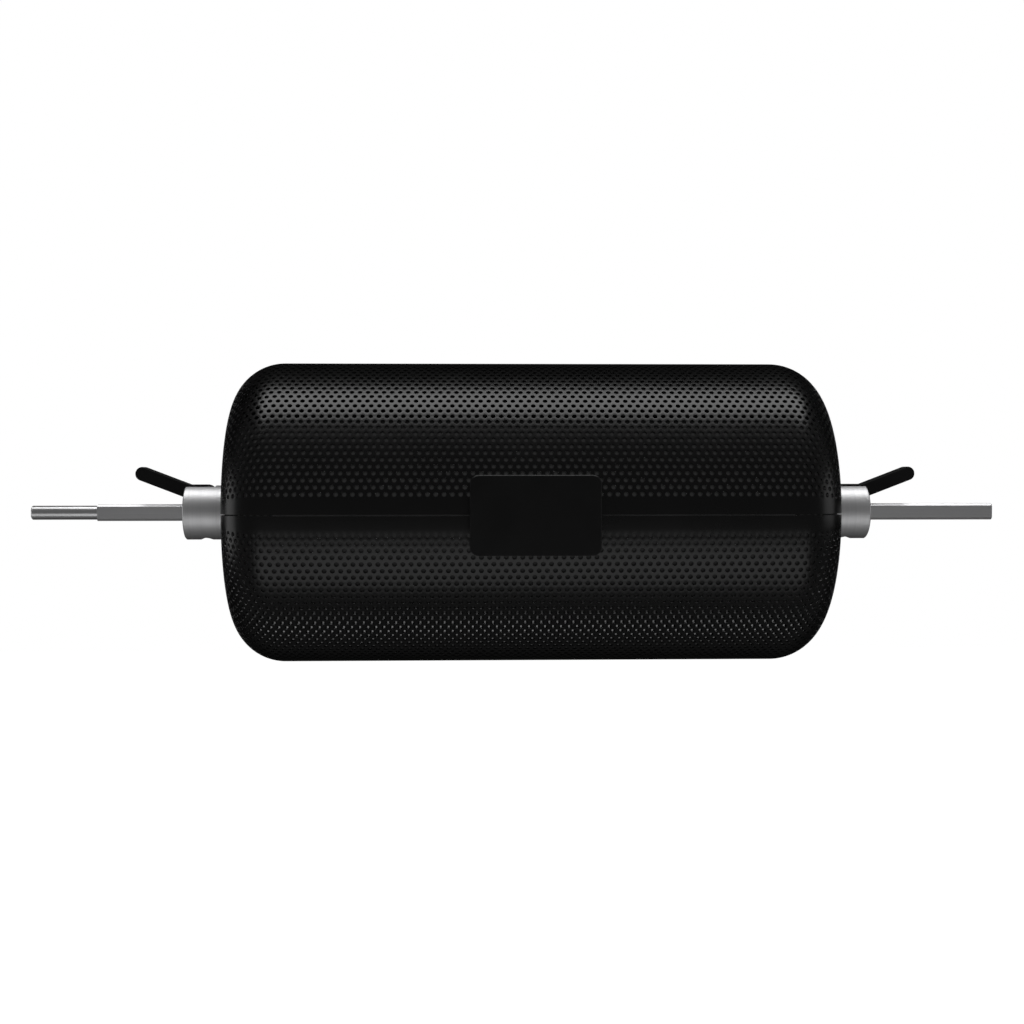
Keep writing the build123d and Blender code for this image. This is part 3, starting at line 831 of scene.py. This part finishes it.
    def borders(self) -> list[tuple[np.ndarray, Owner]]:
        """Lay out the stretch's border: the seam edge, the cut and the edges of the two spigot holes.

        Returns:
            For each of the four, its points as rows of run and turn, and what they lie on.
        """
        limit = self.shape.run_at_radius(self.spigot_hole)
        run = np.linspace(-limit, limit, 2 * round(limit / self.edge_step) + 1)
        seam = np.column_stack([run, self.edge_turn(run)])
        cut = self.cut_line(limit)
        end_turns = np.linspace(self.edge_turn(np.array([limit]))[0], self.cut_turn, self.end_steps)[1:-1]
        ends = [
            (np.column_stack([np.full(len(end_turns), side * limit), end_turns]), owner)
            for side, owner in ((-1, Owner.LEFT_END), (1, Owner.RIGHT_END))
        ]
        return [(seam, Owner.SEAM), (cut, Owner.CUT), *ends]

    def triangles(self, places: np.ndarray, owners: np.ndarray, edges: list[tuple[int, int]]) -> np.ndarray:
        """Fill the flat pattern with triangles, leaving the holes open.

        Args:
            places: Run and turn of each point.
            owners: Each point's owner.
            edges: The edges to keep, of holes and borders.

        Returns:
            Triangles as rows of three point numbers, facing outward on this half.
        """
        flat = places * (1 / MM, self.shape.radius / MM)
        result = delaunay_2d_cdt([Vector(point) for point in flat], edges, [], 0, self.same_place)
        origin = np.array([sources[0] for sources in result[3]])
        faces = origin[np.array(result[2])]
        owner = owners[faces]
        same = (owner[:, 0] == owner[:, 1]) & (owner[:, 1] == owner[:, 2]) & (owner[:, 0] != Owner.PLAIN)
        faces = faces[~same]
        return faces if self.half is Half.UPPER else faces[:, ::-1]

    def build(self) -> bpy.types.Object:
        """Make the closed mesh, with smooth skins and hole walls.

        Returns:
            The panel, not yet riding on its body.
        """
        places, owners, centres, edges = self.plan()
        skin = self.triangles(places, owners, edges)
        run, turn = places.T
        outer, normals = self.shape.place(run, turn, self.half)
        inner, _ = self.shape.place(run, turn, self.half, self.shape.wall)
        count = len(places)
        rim = open_edges(skin, count)
        walls = np.column_stack([rim[:, 1], rim[:, 0], rim[:, 0] + count, rim[:, 1] + count])
        points = np.concatenate([outer, inner])
        inward = self.toward_holes(outer, normals, owners, centres)
        wall_normals = self.wall_normals(points, inward, walls)
        loops = np.concatenate([skin.ravel(), (skin[:, ::-1] + count).ravel(), walls.ravel()])
        sizes = np.concatenate([np.full(2 * len(skin), 3), np.full(len(walls), 4)])
        rolled = (normals + self.rim_roll * inward)[skin.ravel()]
        rolled /= np.linalg.norm(rolled, axis=1, keepdims=True)
        inner_normals = -normals[skin[:, ::-1].ravel()]
        loop_normals = np.concatenate([rolled, inner_normals, wall_normals.reshape(-1, 3)])
        mesh = mesh_from_arrays(self.name, points, loops, sizes)
        cut = mesh.attributes.new(CUT_MARK, "FLOAT", "FACE")
        cut.data.foreach_set("value", (np.arange(len(sizes)) >= 2 * len(skin)).astype(np.float32))
        self.unwrap(mesh, places, owners, centres, skin, walls)
        mesh.normals_split_custom_set(loop_normals)
        piece = bpy.data.objects.new(self.name, mesh)
        bpy.context.scene.collection.objects.link(piece)
        log.info("%s: %d holes, %d faces", self.name, len(centres), len(sizes))
        return piece

    def toward_holes(self, outer: np.ndarray, normals: np.ndarray, owners: np.ndarray,
                     centres: np.ndarray) -> np.ndarray:
        """Find the way along the skin from each hole's outline to its centre.

        Args:
            outer: The skin's points.
            normals: Their outward normals.
            owners: Each point's owner.
            centres: Run and turn of each hole's centre.

        Returns:
            A unit vector for each point of an outline, and zeros for the other points.
        """
        result = np.zeros_like(outer)
        rim = owners >= 0
        middle, _ = self.shape.place(*centres.T, self.half)
        inward = middle[owners[rim]] - outer[rim]
        inward -= normals[rim] * np.sum(inward * normals[rim], axis=1, keepdims=True)
        result[rim] = inward / np.linalg.norm(inward, axis=1, keepdims=True)
        return result

    def wall_normals(self, points: np.ndarray, inward: np.ndarray, walls: np.ndarray) -> np.ndarray:
        """Give the normals of the sheet's cut edges: round in a hole, flat along a border.

        Args:
            points: The outer points and then the inner ones.
            inward: For each outer point, the way to its hole's centre, or zeros.
            walls: The cut edges' faces.

        Returns:
            A normal for each corner of each face.
        """
        corner = points[walls]
        flat = np.cross(corner[:, 1] - corner[:, 0], corner[:, 3] - corner[:, 0])
        flat /= np.linalg.norm(flat, axis=1, keepdims=True)
        round_hole = inward[walls % len(inward)]
        return np.where(np.any(round_hole, axis=2, keepdims=True), round_hole, flat[:, None, :])

    def unwrap(self, mesh: bpy.types.Mesh, places: np.ndarray, owners: np.ndarray, centres: np.ndarray,
               skin: np.ndarray, walls: np.ndarray) -> None:
        """Lay the skins side by side in the map, each hole's wall as a ring inside the hole.

        Args:
            mesh: The panel's mesh.
            places: Run and turn of each point.
            owners: Each point's owner.
            centres: Run and turn of each hole's centre.
            skin: The outer skin's triangles.
            walls: The cut edges' faces.
        """
        limit = self.shape.run_at_radius(self.spigot_hole)
        start = 0.0 if self.panel is Panel.FRONT else self.cut_turn
        scale = (1 - 2 * self.map_margin) / (2 * limit) * np.array([1.0, self.shape.radius])
        flat, middle = (
            (spots - (-limit, start)) * scale + self.map_margin for spots in (places, centres)
        )
        count = len(places)
        sunk = flat.copy()
        holes = owners >= 0
        sunk[holes] = (flat[holes] + middle[owners[holes]]) / 2
        sunk[~holes] += (0.0, self.map_strip)
        wall_points = np.where((walls < count)[..., None], flat[walls % count], sunk[walls % count])
        layer = mesh.uv_layers.new(name="OFBake")
        inner = flat[skin[:, ::-1].ravel()] + (0.0, self.map_drop)
        coordinates = np.concatenate([flat[skin.ravel()], inner, wall_points.reshape(-1, 2)])
        layer.data.foreach_set("uv", coordinates.astype(np.float32).ravel())


def open_edges(triangles: np.ndarray, count: int) -> np.ndarray:
    """Find the edges that only one triangle uses.

    Args:
        triangles: Rows of three point numbers.
        count: How many points there are.

    Returns:
        Rows of two point numbers, in the triangle's own direction.
    """
    edges = np.concatenate([triangles[:, [0, 1]], triangles[:, [1, 2]], triangles[:, [2, 0]]])
    forward = edges[:, 0].astype(np.int64) * count + edges[:, 1]
    backward = edges[:, 1].astype(np.int64) * count + edges[:, 0]
    return edges[~np.isin(forward, backward)]


def mesh_from_arrays(name: str, points: np.ndarray, loops: np.ndarray, sizes: np.ndarray) -> bpy.types.Mesh:
    """Make a smooth-shaded mesh from arrays.

    Args:
        name: The mesh's name.
        points: Rows of x, y, z.
        loops: Point numbers of all faces, one after another.
        sizes: How many corners each face has.

    Returns:
        The mesh.
    """
    mesh = bpy.data.meshes.new(name)
    mesh.vertices.add(len(points))
    mesh.vertices.foreach_set("co", points.astype(np.float32).ravel())
    mesh.loops.add(len(loops))
    mesh.loops.foreach_set("vertex_index", loops.astype(np.int32))
    mesh.polygons.add(len(sizes))
    starts = np.concatenate([[0], np.cumsum(sizes)[:-1]])
    mesh.polygons.foreach_set("loop_start", starts.astype(np.int32))
    mesh.polygons.foreach_set("use_smooth", np.ones(len(sizes), bool))
    mesh.update(calc_edges=True)
    if mesh.validate():
        log.warning("%s: the mesh had faults that were mended", name)
    return mesh


@dataclass
class Drum:
    """The perforated drum: two shells of two panels each, and the guide strips inside the seams."""

    shape: DrumShape = field(default_factory=DrumShape)
    pattern: Perforation = field(default_factory=Perforation)
    spigot_holes: dict[Half, float] = field(
        default_factory=lambda: {Half.LOWER: 11.3 * MM, Half.UPPER: 11.6 * MM}
    )
    hub_rivet_turns: tuple[float, ...] = (math.radians(35), math.radians(90), math.radians(145))
    hinge_outs: tuple[float, float] = (-95 * MM, 95 * MM)
    hinge_half: float = 20 * MM
    leaf_reach: float = 26 * MM
    leaf_rivet_pitch: float = 14 * MM
    leaf_rivet_height: float = 15 * MM

    def seats(self, half: Half, panel: Panel) -> tuple[Seat, ...]:
        """List the plain patches of one panel, under hinge leaves, latch bracket or keeper.

        Args:
            half: The panel's shell.
            panel: Which of the shell's stretches it is.

        Returns:
            The patches.
        """
        if panel is Panel.REAR:
            return tuple(
                Seat(half, panel, out, half_width=self.hinge_half, low=0.0, high=self.leaf_reach,
                     rivet_outs=tuple(out + step * self.leaf_rivet_pitch for step in (-1, 0, 1)),
                     rivet_height=self.leaf_rivet_height)
                for out in self.hinge_outs
            )
        if half is Half.UPPER:
            return (Seat(half, panel, out=0.0, half_width=26 * MM, low=6 * MM, high=22 * MM,
                         rivet_outs=(-12 * MM, 12 * MM), rivet_height=12 * MM, margin=1.35 * MM),)
        return (Seat(half, panel, out=0.0, half_width=18 * MM, low=6 * MM, high=20 * MM,
                     rivet_outs=(-14 * MM, 14 * MM), rivet_height=13 * MM, margin=1.35 * MM),)

    def build(self, finishes: Finishes) -> None:
        """Build and dress the four panels, and dress the guide strips.

        Args:
            finishes: The basket's finishes.
        """
        for half in Half:
            for panel in Panel:
                turns = self.hub_rivet_turns if half is Half.LOWER else ()
                maker = ShellPanel(self.shape, self.pattern, half, panel, self.seats(half, panel),
                                   self.spigot_holes[half], turns)
                piece = maker.build()
                finishes.dress(piece, "shell_black")
                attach(piece, ShellPanel.BODIES[half])
                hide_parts(f"{half.name.lower()}_shell")
        for panel in Panel:
            finishes.dress_node(f"guide_strip_{panel.value}", "guide_strip")


# ---- sub-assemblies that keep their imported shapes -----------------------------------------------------
class Side(Enum):
    """The drum's two ends."""

    LEFT = "left"
    RIGHT = "right"


@dataclass(frozen=True)
class SpitRod:
    """The square spit with its round journal."""

    def build(self, finishes: Finishes) -> None:
        """Dress the rod."""
        finishes.dress_node("spit_rod")


@dataclass(frozen=True)
class HubAssembly:
    """One hub with its backing plate, ring nut and lever pin, and the cam lever that it carries."""

    side: Side

    def build(self, finishes: Finishes) -> None:
        """Dress the hub's pieces and its lever."""
        for piece in ("hub", "hub_plate", "hub_nut", "lever_pin", "cam_lever"):
            finishes.dress_node(f"{piece}_{self.side.value}")


@dataclass(frozen=True)
class RearHinge:
    """One hinge behind the seam: a leaf on each shell and the pin through their knuckles."""

    side: Side

    def build(self, finishes: Finishes) -> None:
        """Dress the leaves and the pin."""
        for piece in ("hinge_leaf_lower", "hinge_leaf_upper", "hinge_pin"):
            finishes.dress_node(f"{piece}_{self.side.value}")


@dataclass(frozen=True)
class FrontLatch:
    """The latch across the front seam: plate, pin, spring, tongue, the lid's bracket and the keeper."""

    pieces: tuple[str, ...] = (
        "latch_plate", "latch_pin", "latch_spring", "latch_tongue", "latch_bracket", "keeper",
    )

    def build(self, finishes: Finishes) -> None:
        """Dress the latch's pieces."""
        for piece in self.pieces:
            finishes.dress_node(piece)


@dataclass(frozen=True)
class Rivets:
    """All the rivets, in groups by what they join."""

    groups: tuple[str, ...] = (
        "hub_rivets", "hinge_rivets_lower", "hinge_rivets_upper",
        "bracket_rivets", "tongue_rivets", "keeper_rivets",
    )

    def build(self, finishes: Finishes) -> None:
        """Dress every group."""
        for group in self.groups:
            finishes.dress_node(group)


# ---- studio -------------------------------------------------------------------------------------------
@dataclass(frozen=True)
class Softbox:
    """A rectangular lamp with an evenly lit face."""

    name: str
    middle: Point
    aim: Point
    width: float
    height: float
    radiance: float

    def build(self) -> None:
        """Make the lamp and turn its face to the point it aims at."""
        lamp = bpy.data.lights.new(self.name, "AREA")
        lamp.shape = "RECTANGLE"
        lamp.size = self.width
        lamp.size_y = self.height
        lamp.energy = self.radiance * math.pi * self.width * self.height
        piece = bpy.data.objects.new(self.name, lamp)
        piece.location = self.middle
        piece.rotation_euler = (Vector(self.aim) - Vector(self.middle)).to_track_quat("-Z", "Y").to_euler()
        piece.visible_camera = False
        bpy.context.scene.collection.objects.link(piece)
        log.info("%s: lamp", self.name)


def show_on_stage(mesh: bpy.types.Mesh, material: bpy.types.Material,
                  unseen_by: tuple[str, ...] = ()) -> bpy.types.Object:
    """Link a piece that isn't part of the object.

    Args:
        mesh: Its mesh, whose name it takes.
        material: Its material.
        unseen_by: Kinds of ray that pass it by, such as camera or shadow.

    Returns:
        The piece.
    """
    piece = bpy.data.objects.new(mesh.name, mesh)
    mesh.materials.append(material)
    bpy.context.scene.collection.objects.link(piece)
    for ray in unseen_by:
        setattr(piece, f"visible_{ray}", False)
    log.info("%s: on the stage", mesh.name)
    return piece


@dataclass(frozen=True)
class Tent:
    """Tent of dark cloth round the set, which only reflections see: dim in front, darker behind.

    The cloth's level falls from `front_level` to `rear_level` between the two angles of each fade, measured
    round the set's middle line from straight in front, positive upward.
    """

    radius: float = 2.2
    half_length: float = 2.4
    floor_depth: float = 0.70
    segments: int = 48
    front_level: float = 0.09
    rear_level: float = 0.008
    fade_above: Span = (math.radians(95), math.radians(125))
    fade_below: Span = (math.radians(-85), math.radians(-140))

    def mesh(self) -> bpy.types.Mesh:
        """Make a tube with closed ends and a flat bottom.

        Returns:
            The tent's mesh.
        """
        turn = np.linspace(0, 2 * math.pi, self.segments, endpoint=False)
        ring = np.column_stack([-np.cos(turn), np.sin(turn)]) * self.radius
        ring[:, 1] = np.maximum(ring[:, 1], -self.floor_depth)
        count = len(ring)
        outs = (-self.half_length, self.half_length)
        ends = [np.column_stack([np.full(count, MIDDLE_X + out), ring]) for out in outs]
        step = np.arange(count)
        after = (step + 1) % count
        sides = np.column_stack([step, after, after + count, step + count])
        loops = np.concatenate([sides.ravel(), step, step[::-1] + count])
        sizes = np.concatenate([np.full(count, 4), [count, count]])
        return mesh_from_arrays("tent", np.concatenate(ends), loops, sizes)

    def cloth(self) -> bpy.types.Material:
        """Build the cloth's material.

        Returns:
            The material.
        """
        material, graph = empty_material("tent_cloth")
        _, y, z = graph.coordinates()
        turned = graph.math("ARCTAN2", z, graph.math("MULTIPLY", y, -1.0))
        rear = self.rear_level / self.front_level
        above = graph.remap(turned, self.fade_above, (1.0, rear))
        below = graph.remap(turned, self.fade_below, (1.0, rear))
        level = graph.math("MULTIPLY", graph.math("MULTIPLY", above, below), self.front_level)
        cloth = graph.add("ShaderNodeEmission", {"Strength": level}).outputs[0]
        graph.add("ShaderNodeOutputMaterial", {"Surface": cloth})
        return material

    def build(self) -> None:
        """Put up the tent."""
        show_on_stage(self.mesh(), self.cloth(), ("camera", "diffuse", "shadow", "transmission"))


@dataclass(frozen=True)
class PaintedLightCard:
    """Glowing card inside each shell: painted light for what shows through the drum's holes from outside.

    Only the camera sees it, and only from outside; from inside it is clear. Behind each hole it has a soft
    spot of painted dim light, whose level changes with the height above the spit: painted black under the
    highlight, and falling to black again near the bottom. There painted highlights take over, upright glints,
    one in each hole. The card lies `gap` below the sheet, and `seam_sink` deeper along the seams, where the
    guide strips are.
    """

    shape: DrumShape
    pattern: Perforation
    gap: float = 0.3 * MM
    seam_sink: float = 1.2 * MM
    seam_start: float = 0.5
    seam_reach: float = 0.2
    end_hole: float = 12 * MM
    run_points: int = 181
    turn_points: int = 73
    # Level of the painted dim light behind the holes; the fades below paint shade by height and at the seams.
    level: float = 0.018
    fade_high: Span = (45.5 * MM, 54.5 * MM)
    fade_low: Span = (-45 * MM, 0.0)
    low_share: float = 0.42
    fade_bottom: Span = (-64 * MM, -50 * MM)
    seam_level: float = 0.009
    seam_edge: Span = (1.5 * MM, 3 * MM)
    spot_r: float = 0.7 * MM
    spot_edge: float = 0.45
    # Painted highlights: upright glints in the lower holes.
    glint_level: float = 0.16
    glint_half: float = 0.35 * MM
    glint_soft: float = 0.2 * MM
    glint_rise: Span = (-50.5 * MM, -64.5 * MM)
    glint_power: float = 2.0
    glint_fall: Span = (-67 * MM, -80 * MM)
    glint_last: float = 0.15

    def off_holes(self, graph: Graph) -> tuple[Socket, Socket]:
        """Measure how far a place on the card lies from the pattern in front of it.

        Args:
            graph: The card's tree.

        Returns:
            Distances to the nearest column of holes and to the nearest hole's centre.
        """
        place = graph.add("ShaderNodeAttribute", attribute_name=SKIN_PLACE).outputs["Vector"]
        run, turn, _ = graph.add("ShaderNodeSeparateXYZ", {0: place}).outputs
        rows_apart = self.pattern.turn_step * self.shape.radius
        around = graph.math("MULTIPLY", turn, self.shape.radius)
        distances = []
        for row in (0, 1):
            first = row * rows_apart + self.pattern.first_turn * self.shape.radius
            shifted = graph.math("SUBTRACT", run, row * self.pattern.pitch / 2)
            along = graph.math("PINGPONG", shifted, self.pattern.pitch / 2)
            across = graph.math("PINGPONG", graph.math("SUBTRACT", around, first), rows_apart)
            distances.append(graph.length(X=along, Y=across))
        column = graph.math("PINGPONG", run, self.pattern.pitch / 4)
        return column, graph.math("MINIMUM", *distances)

    def spots(self, graph: Graph, height: Socket, off_hole: Socket) -> Socket:
        """Paint the soft spots: painted dim light behind the holes, with painted shade where it fades.

        Args:
            graph: The card's tree.
            height: The place's height above the spit.
            off_hole: Its distance to the nearest hole's centre.

        Returns:
            The spots' level.
        """
        high = graph.remap(height, self.fade_high, (1.0, 0.0))
        low = graph.remap(height, self.fade_low, (self.low_share, 1.0))
        low = graph.math("MULTIPLY", low, graph.remap(height, self.fade_bottom, (0.0, 1.0)))
        from_seam = graph.math("ABSOLUTE", height)
        level = graph.remap(from_seam, self.seam_edge, (self.seam_level, self.level))
        dim = graph.math("MULTIPLY", graph.math("MULTIPLY", high, low), level)
        soft = graph.remap(off_hole, (self.spot_r, self.pattern.hole_r), (1.0, self.spot_edge))
        return graph.math("MULTIPLY", dim, soft)

    def painted_glints(self, graph: Graph, height: Socket, off_column: Socket) -> Socket:
        """Paint the upright glints of the lower rows: painted highlights, one in each column of holes.

        Args:
            graph: The card's tree.
            height: The place's height above the spit.
            off_column: Its distance to the nearest column of holes.

        Returns:
            The glints' level.
        """
        edge = (self.glint_half, self.glint_half + self.glint_soft)
        stripe = graph.remap(off_column, edge, (self.glint_level, 0.0))
        rise = graph.math("POWER", graph.remap(height, self.glint_rise, (0.0, 1.0)), self.glint_power)
        fall = graph.remap(height, self.glint_fall, (1.0, self.glint_last))
        return graph.math("MULTIPLY", stripe, graph.math("MULTIPLY", rise, fall))

    def material(self) -> bpy.types.Material:
        """Build the card's material: a glow of painted light, seen only by the camera from outside.

        Returns:
            The material.
        """
        material, graph = empty_material("card")
        _, _, height = graph.coordinates()
        off_column, off_hole = self.off_holes(graph)
        spots = self.spots(graph, height, off_hole)
        level = graph.math("ADD", spots, self.painted_glints(graph, height, off_column))
        front = graph.math("SUBTRACT", 1.0, graph.add("ShaderNodeNewGeometry").outputs["Backfacing"])
        camera = graph.add("ShaderNodeLightPath").outputs["Is Camera Ray"]
        seen = graph.math("MULTIPLY", front, camera)
        # Painted light: the card glows though it is no lamp.
        glow = graph.add("ShaderNodeEmission", {"Strength": level}).outputs[0]
        clear = graph.add("ShaderNodeBsdfTransparent").outputs[0]
        mixed = graph.add("ShaderNodeMixShader", {0: seen, 1: clear, 2: glow})
        graph.add("ShaderNodeOutputMaterial", {"Surface": mixed.outputs[0]})
        return material

    def mesh(self, half: Half) -> bpy.types.Mesh:
        """Make the card of one shell, with each point's run and turn noted on it.

        Args:
            half: The shell.

        Returns:
            The card's mesh, facing outward.
        """
        limit = self.shape.run_at_radius(self.end_hole)
        runs = np.linspace(-limit, limit, self.run_points)
        turns = np.linspace(0, 1, self.turn_points) * math.pi
        run, turn = (grid.ravel() for grid in np.meshgrid(runs, turns))
        near_seam = np.clip((self.seam_start - np.sin(turn)) / self.seam_reach, 0, 1)
        depth = self.shape.wall + self.gap + near_seam * self.seam_sink
        points, _ = self.shape.place(run, turn, half, depth)
        corner = (np.arange(len(turns) - 1)[:, None] * len(runs) + np.arange(len(runs) - 1)).ravel()
        quads = np.column_stack([corner, corner + 1, corner + 1 + len(runs), corner + len(runs)])
        if half is Half.LOWER:
            quads = quads[:, ::-1]
        mesh = mesh_from_arrays(f"card_{half.name.lower()}", points, quads.ravel(), np.full(len(quads), 4))
        marks = mesh.attributes.new(SKIN_PLACE, "FLOAT_VECTOR", "POINT")
        skin_place = np.column_stack([run, turn, np.zeros(len(run))])
        marks.data.foreach_set("vector", skin_place.astype(np.float32).ravel())
        return mesh

    def build(self) -> None:
        """Fit a card in each shell, which it moves with."""
        material = self.material()
        unseen_by = ("diffuse", "glossy", "transmission", "shadow")
        for half in Half:
            piece = show_on_stage(self.mesh(half), material, unseen_by)
            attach(piece, ShellPanel.BODIES[half])


@dataclass
class Studio:
    """Pale floor, plain backdrop and softboxes, the tent that reflections see, and the painted-light cards in
    the drum.
    """

    card: PaintedLightCard
    tent: Tent = field(default_factory=Tent)
    floor_depth: float = 0.75
    floor_half: float = 6.0
    floor_colour: Colour = (0.80, 0.80, 0.80)
    floor_lift: float = 0.74
    ambient: float = 0.35

    def softboxes(self) -> tuple[Softbox, ...]:
        """Place the lamps: a long one overhead, a long one low in front, and one at each end.

        Returns:
            The lamps.
        """
        x = MIDDLE_X
        return (
            Softbox("softbox_top", middle=(x + 0.06, -0.02, 0.90), aim=(x + 0.06, -0.02, 0.0),
                    width=1.24, height=0.42, radiance=2.85),
            Softbox("softbox_low_front", middle=(x, -0.52, -0.38), aim=(x, -0.085, -0.03),
                    width=1.10, height=0.38, radiance=0.64),
            Softbox("softbox_left", middle=(x - 1.08, 0.17, -0.03), aim=(x, 0.17, -0.03),
                    width=0.50, height=0.44, radiance=0.85),
            Softbox("softbox_right", middle=(x + 1.08, -0.11, 0.10), aim=(x, -0.11, 0.10),
                    width=0.50, height=0.34, radiance=0.60),
        )

    @staticmethod
    def seen(graph: Graph) -> Socket:
        """Tell rays from the camera, and rays that metal or glass sends on, from the rest.

        Args:
            graph: The tree that asks.

        Returns:
            1 for those rays, otherwise 0.
        """
        rays = graph.add("ShaderNodeLightPath").outputs
        metal = graph.math("MAXIMUM", rays["Is Camera Ray"], rays["Is Glossy Ray"])
        return graph.math("MAXIMUM", metal, rays["Is Transmission Ray"])

    def white_world(self) -> None:
        """Make a world that is white to the camera and in reflections, and a soft plain light elsewhere."""
        world = bpy.data.worlds.new("backdrop")
        world.use_nodes = True
        world.node_tree.nodes.clear()
        world.cycles.sampling_method = "NONE"
        graph = Graph(world.node_tree)
        strength = graph.remap(self.seen(graph), (0.0, 1.0), (self.ambient, 1.0))
        back = graph.add("ShaderNodeBackground", {"Color": (1, 1, 1, 1), "Strength": strength})
        graph.add("ShaderNodeOutputWorld", {"Surface": back.outputs[0]})
        bpy.context.scene.world = world

    def floor(self) -> None:
        """Lay a pale floor that keeps the object's shadow and is lifted to white where it is seen."""
        half, z = self.floor_half, -self.floor_depth
        corners = [(-half, -half), (half, -half), (half, half), (-half, half)]
        points = np.array([(MIDDLE_X + x, y, z) for x, y in corners])
        mesh = mesh_from_arrays("floor", points, np.arange(4), np.array([4]))
        material, graph = empty_material("floor_paint")
        paint = graph.add("ShaderNodeBsdfDiffuse", {"Color": (*self.floor_colour, 1)}).outputs[0]
        lift = graph.math("MULTIPLY", self.seen(graph), self.floor_lift)
        glow = graph.add("ShaderNodeEmission", {"Strength": lift}).outputs[0]
        both = graph.add("ShaderNodeAddShader", {0: paint, 1: glow}).outputs[0]
        graph.add("ShaderNodeOutputMaterial", {"Surface": both})
        show_on_stage(mesh, material)

    def build(self) -> None:
        """Set up everything that isn't the object."""
        bpy.context.scene.view_settings.view_transform = "Standard"
        self.white_world()
        self.floor()
        self.tent.build()
        self.card.build()
        for softbox in self.softboxes():
            softbox.build()


@dataclass(frozen=True)
class ViewPoint:
    """Where the camera stands: nearly level with the spit, just left of the drum's middle."""

    target: Point = (0.27116, 0.0, 0.0)
    azimuth: float = math.radians(-2.0)
    elevation: float = math.radians(1.15)
    roll: float = math.radians(-0.05)
    distance: float = 0.933
    lens: float = 53.47
    sensor: float = 36.0

    def build(self) -> None:
        """Make the scene's camera."""
        camera = bpy.data.cameras.new("camera")
        camera.sensor_width = self.sensor
        camera.lens = self.lens
        level = math.cos(self.elevation)
        aside, ahead = math.sin(self.azimuth), math.cos(self.azimuth)
        back = Vector((aside * level, -ahead * level, math.sin(self.elevation)))
        right = (-back).cross(Vector((0, 0, 1))).normalized()
        up = right.cross(-back)
        right, up = (
            right * math.cos(self.roll) + up * math.sin(self.roll),
            up * math.cos(self.roll) - right * math.sin(self.roll),
        )
        place = Vector(self.target) + back * self.distance
        piece = bpy.data.objects.new("camera", camera)
        piece.matrix_world = Matrix([*zip(right, up, back, place), (0, 0, 0, 1)])
        bpy.context.scene.collection.objects.link(piece)
        bpy.context.scene.camera = piece


def main() -> None:
    """Build the camera, the object's looks and the studio."""
    logging.basicConfig(level=logging.INFO, format="%(name)s: %(message)s")
    ViewPoint().build()
    finishes = Finishes(Effects())
    drum = Drum()
    drum.build(finishes)
    SpitRod().build(finishes)
    for side in Side:
        HubAssembly(side).build(finishes)
        RearHinge(side).build(finishes)
    FrontLatch().build(finishes)
    Rivets().build(finishes)
    Studio(PaintedLightCard(drum.shape, drum.pattern)).build()


if __name__ == "__main__":
    main()
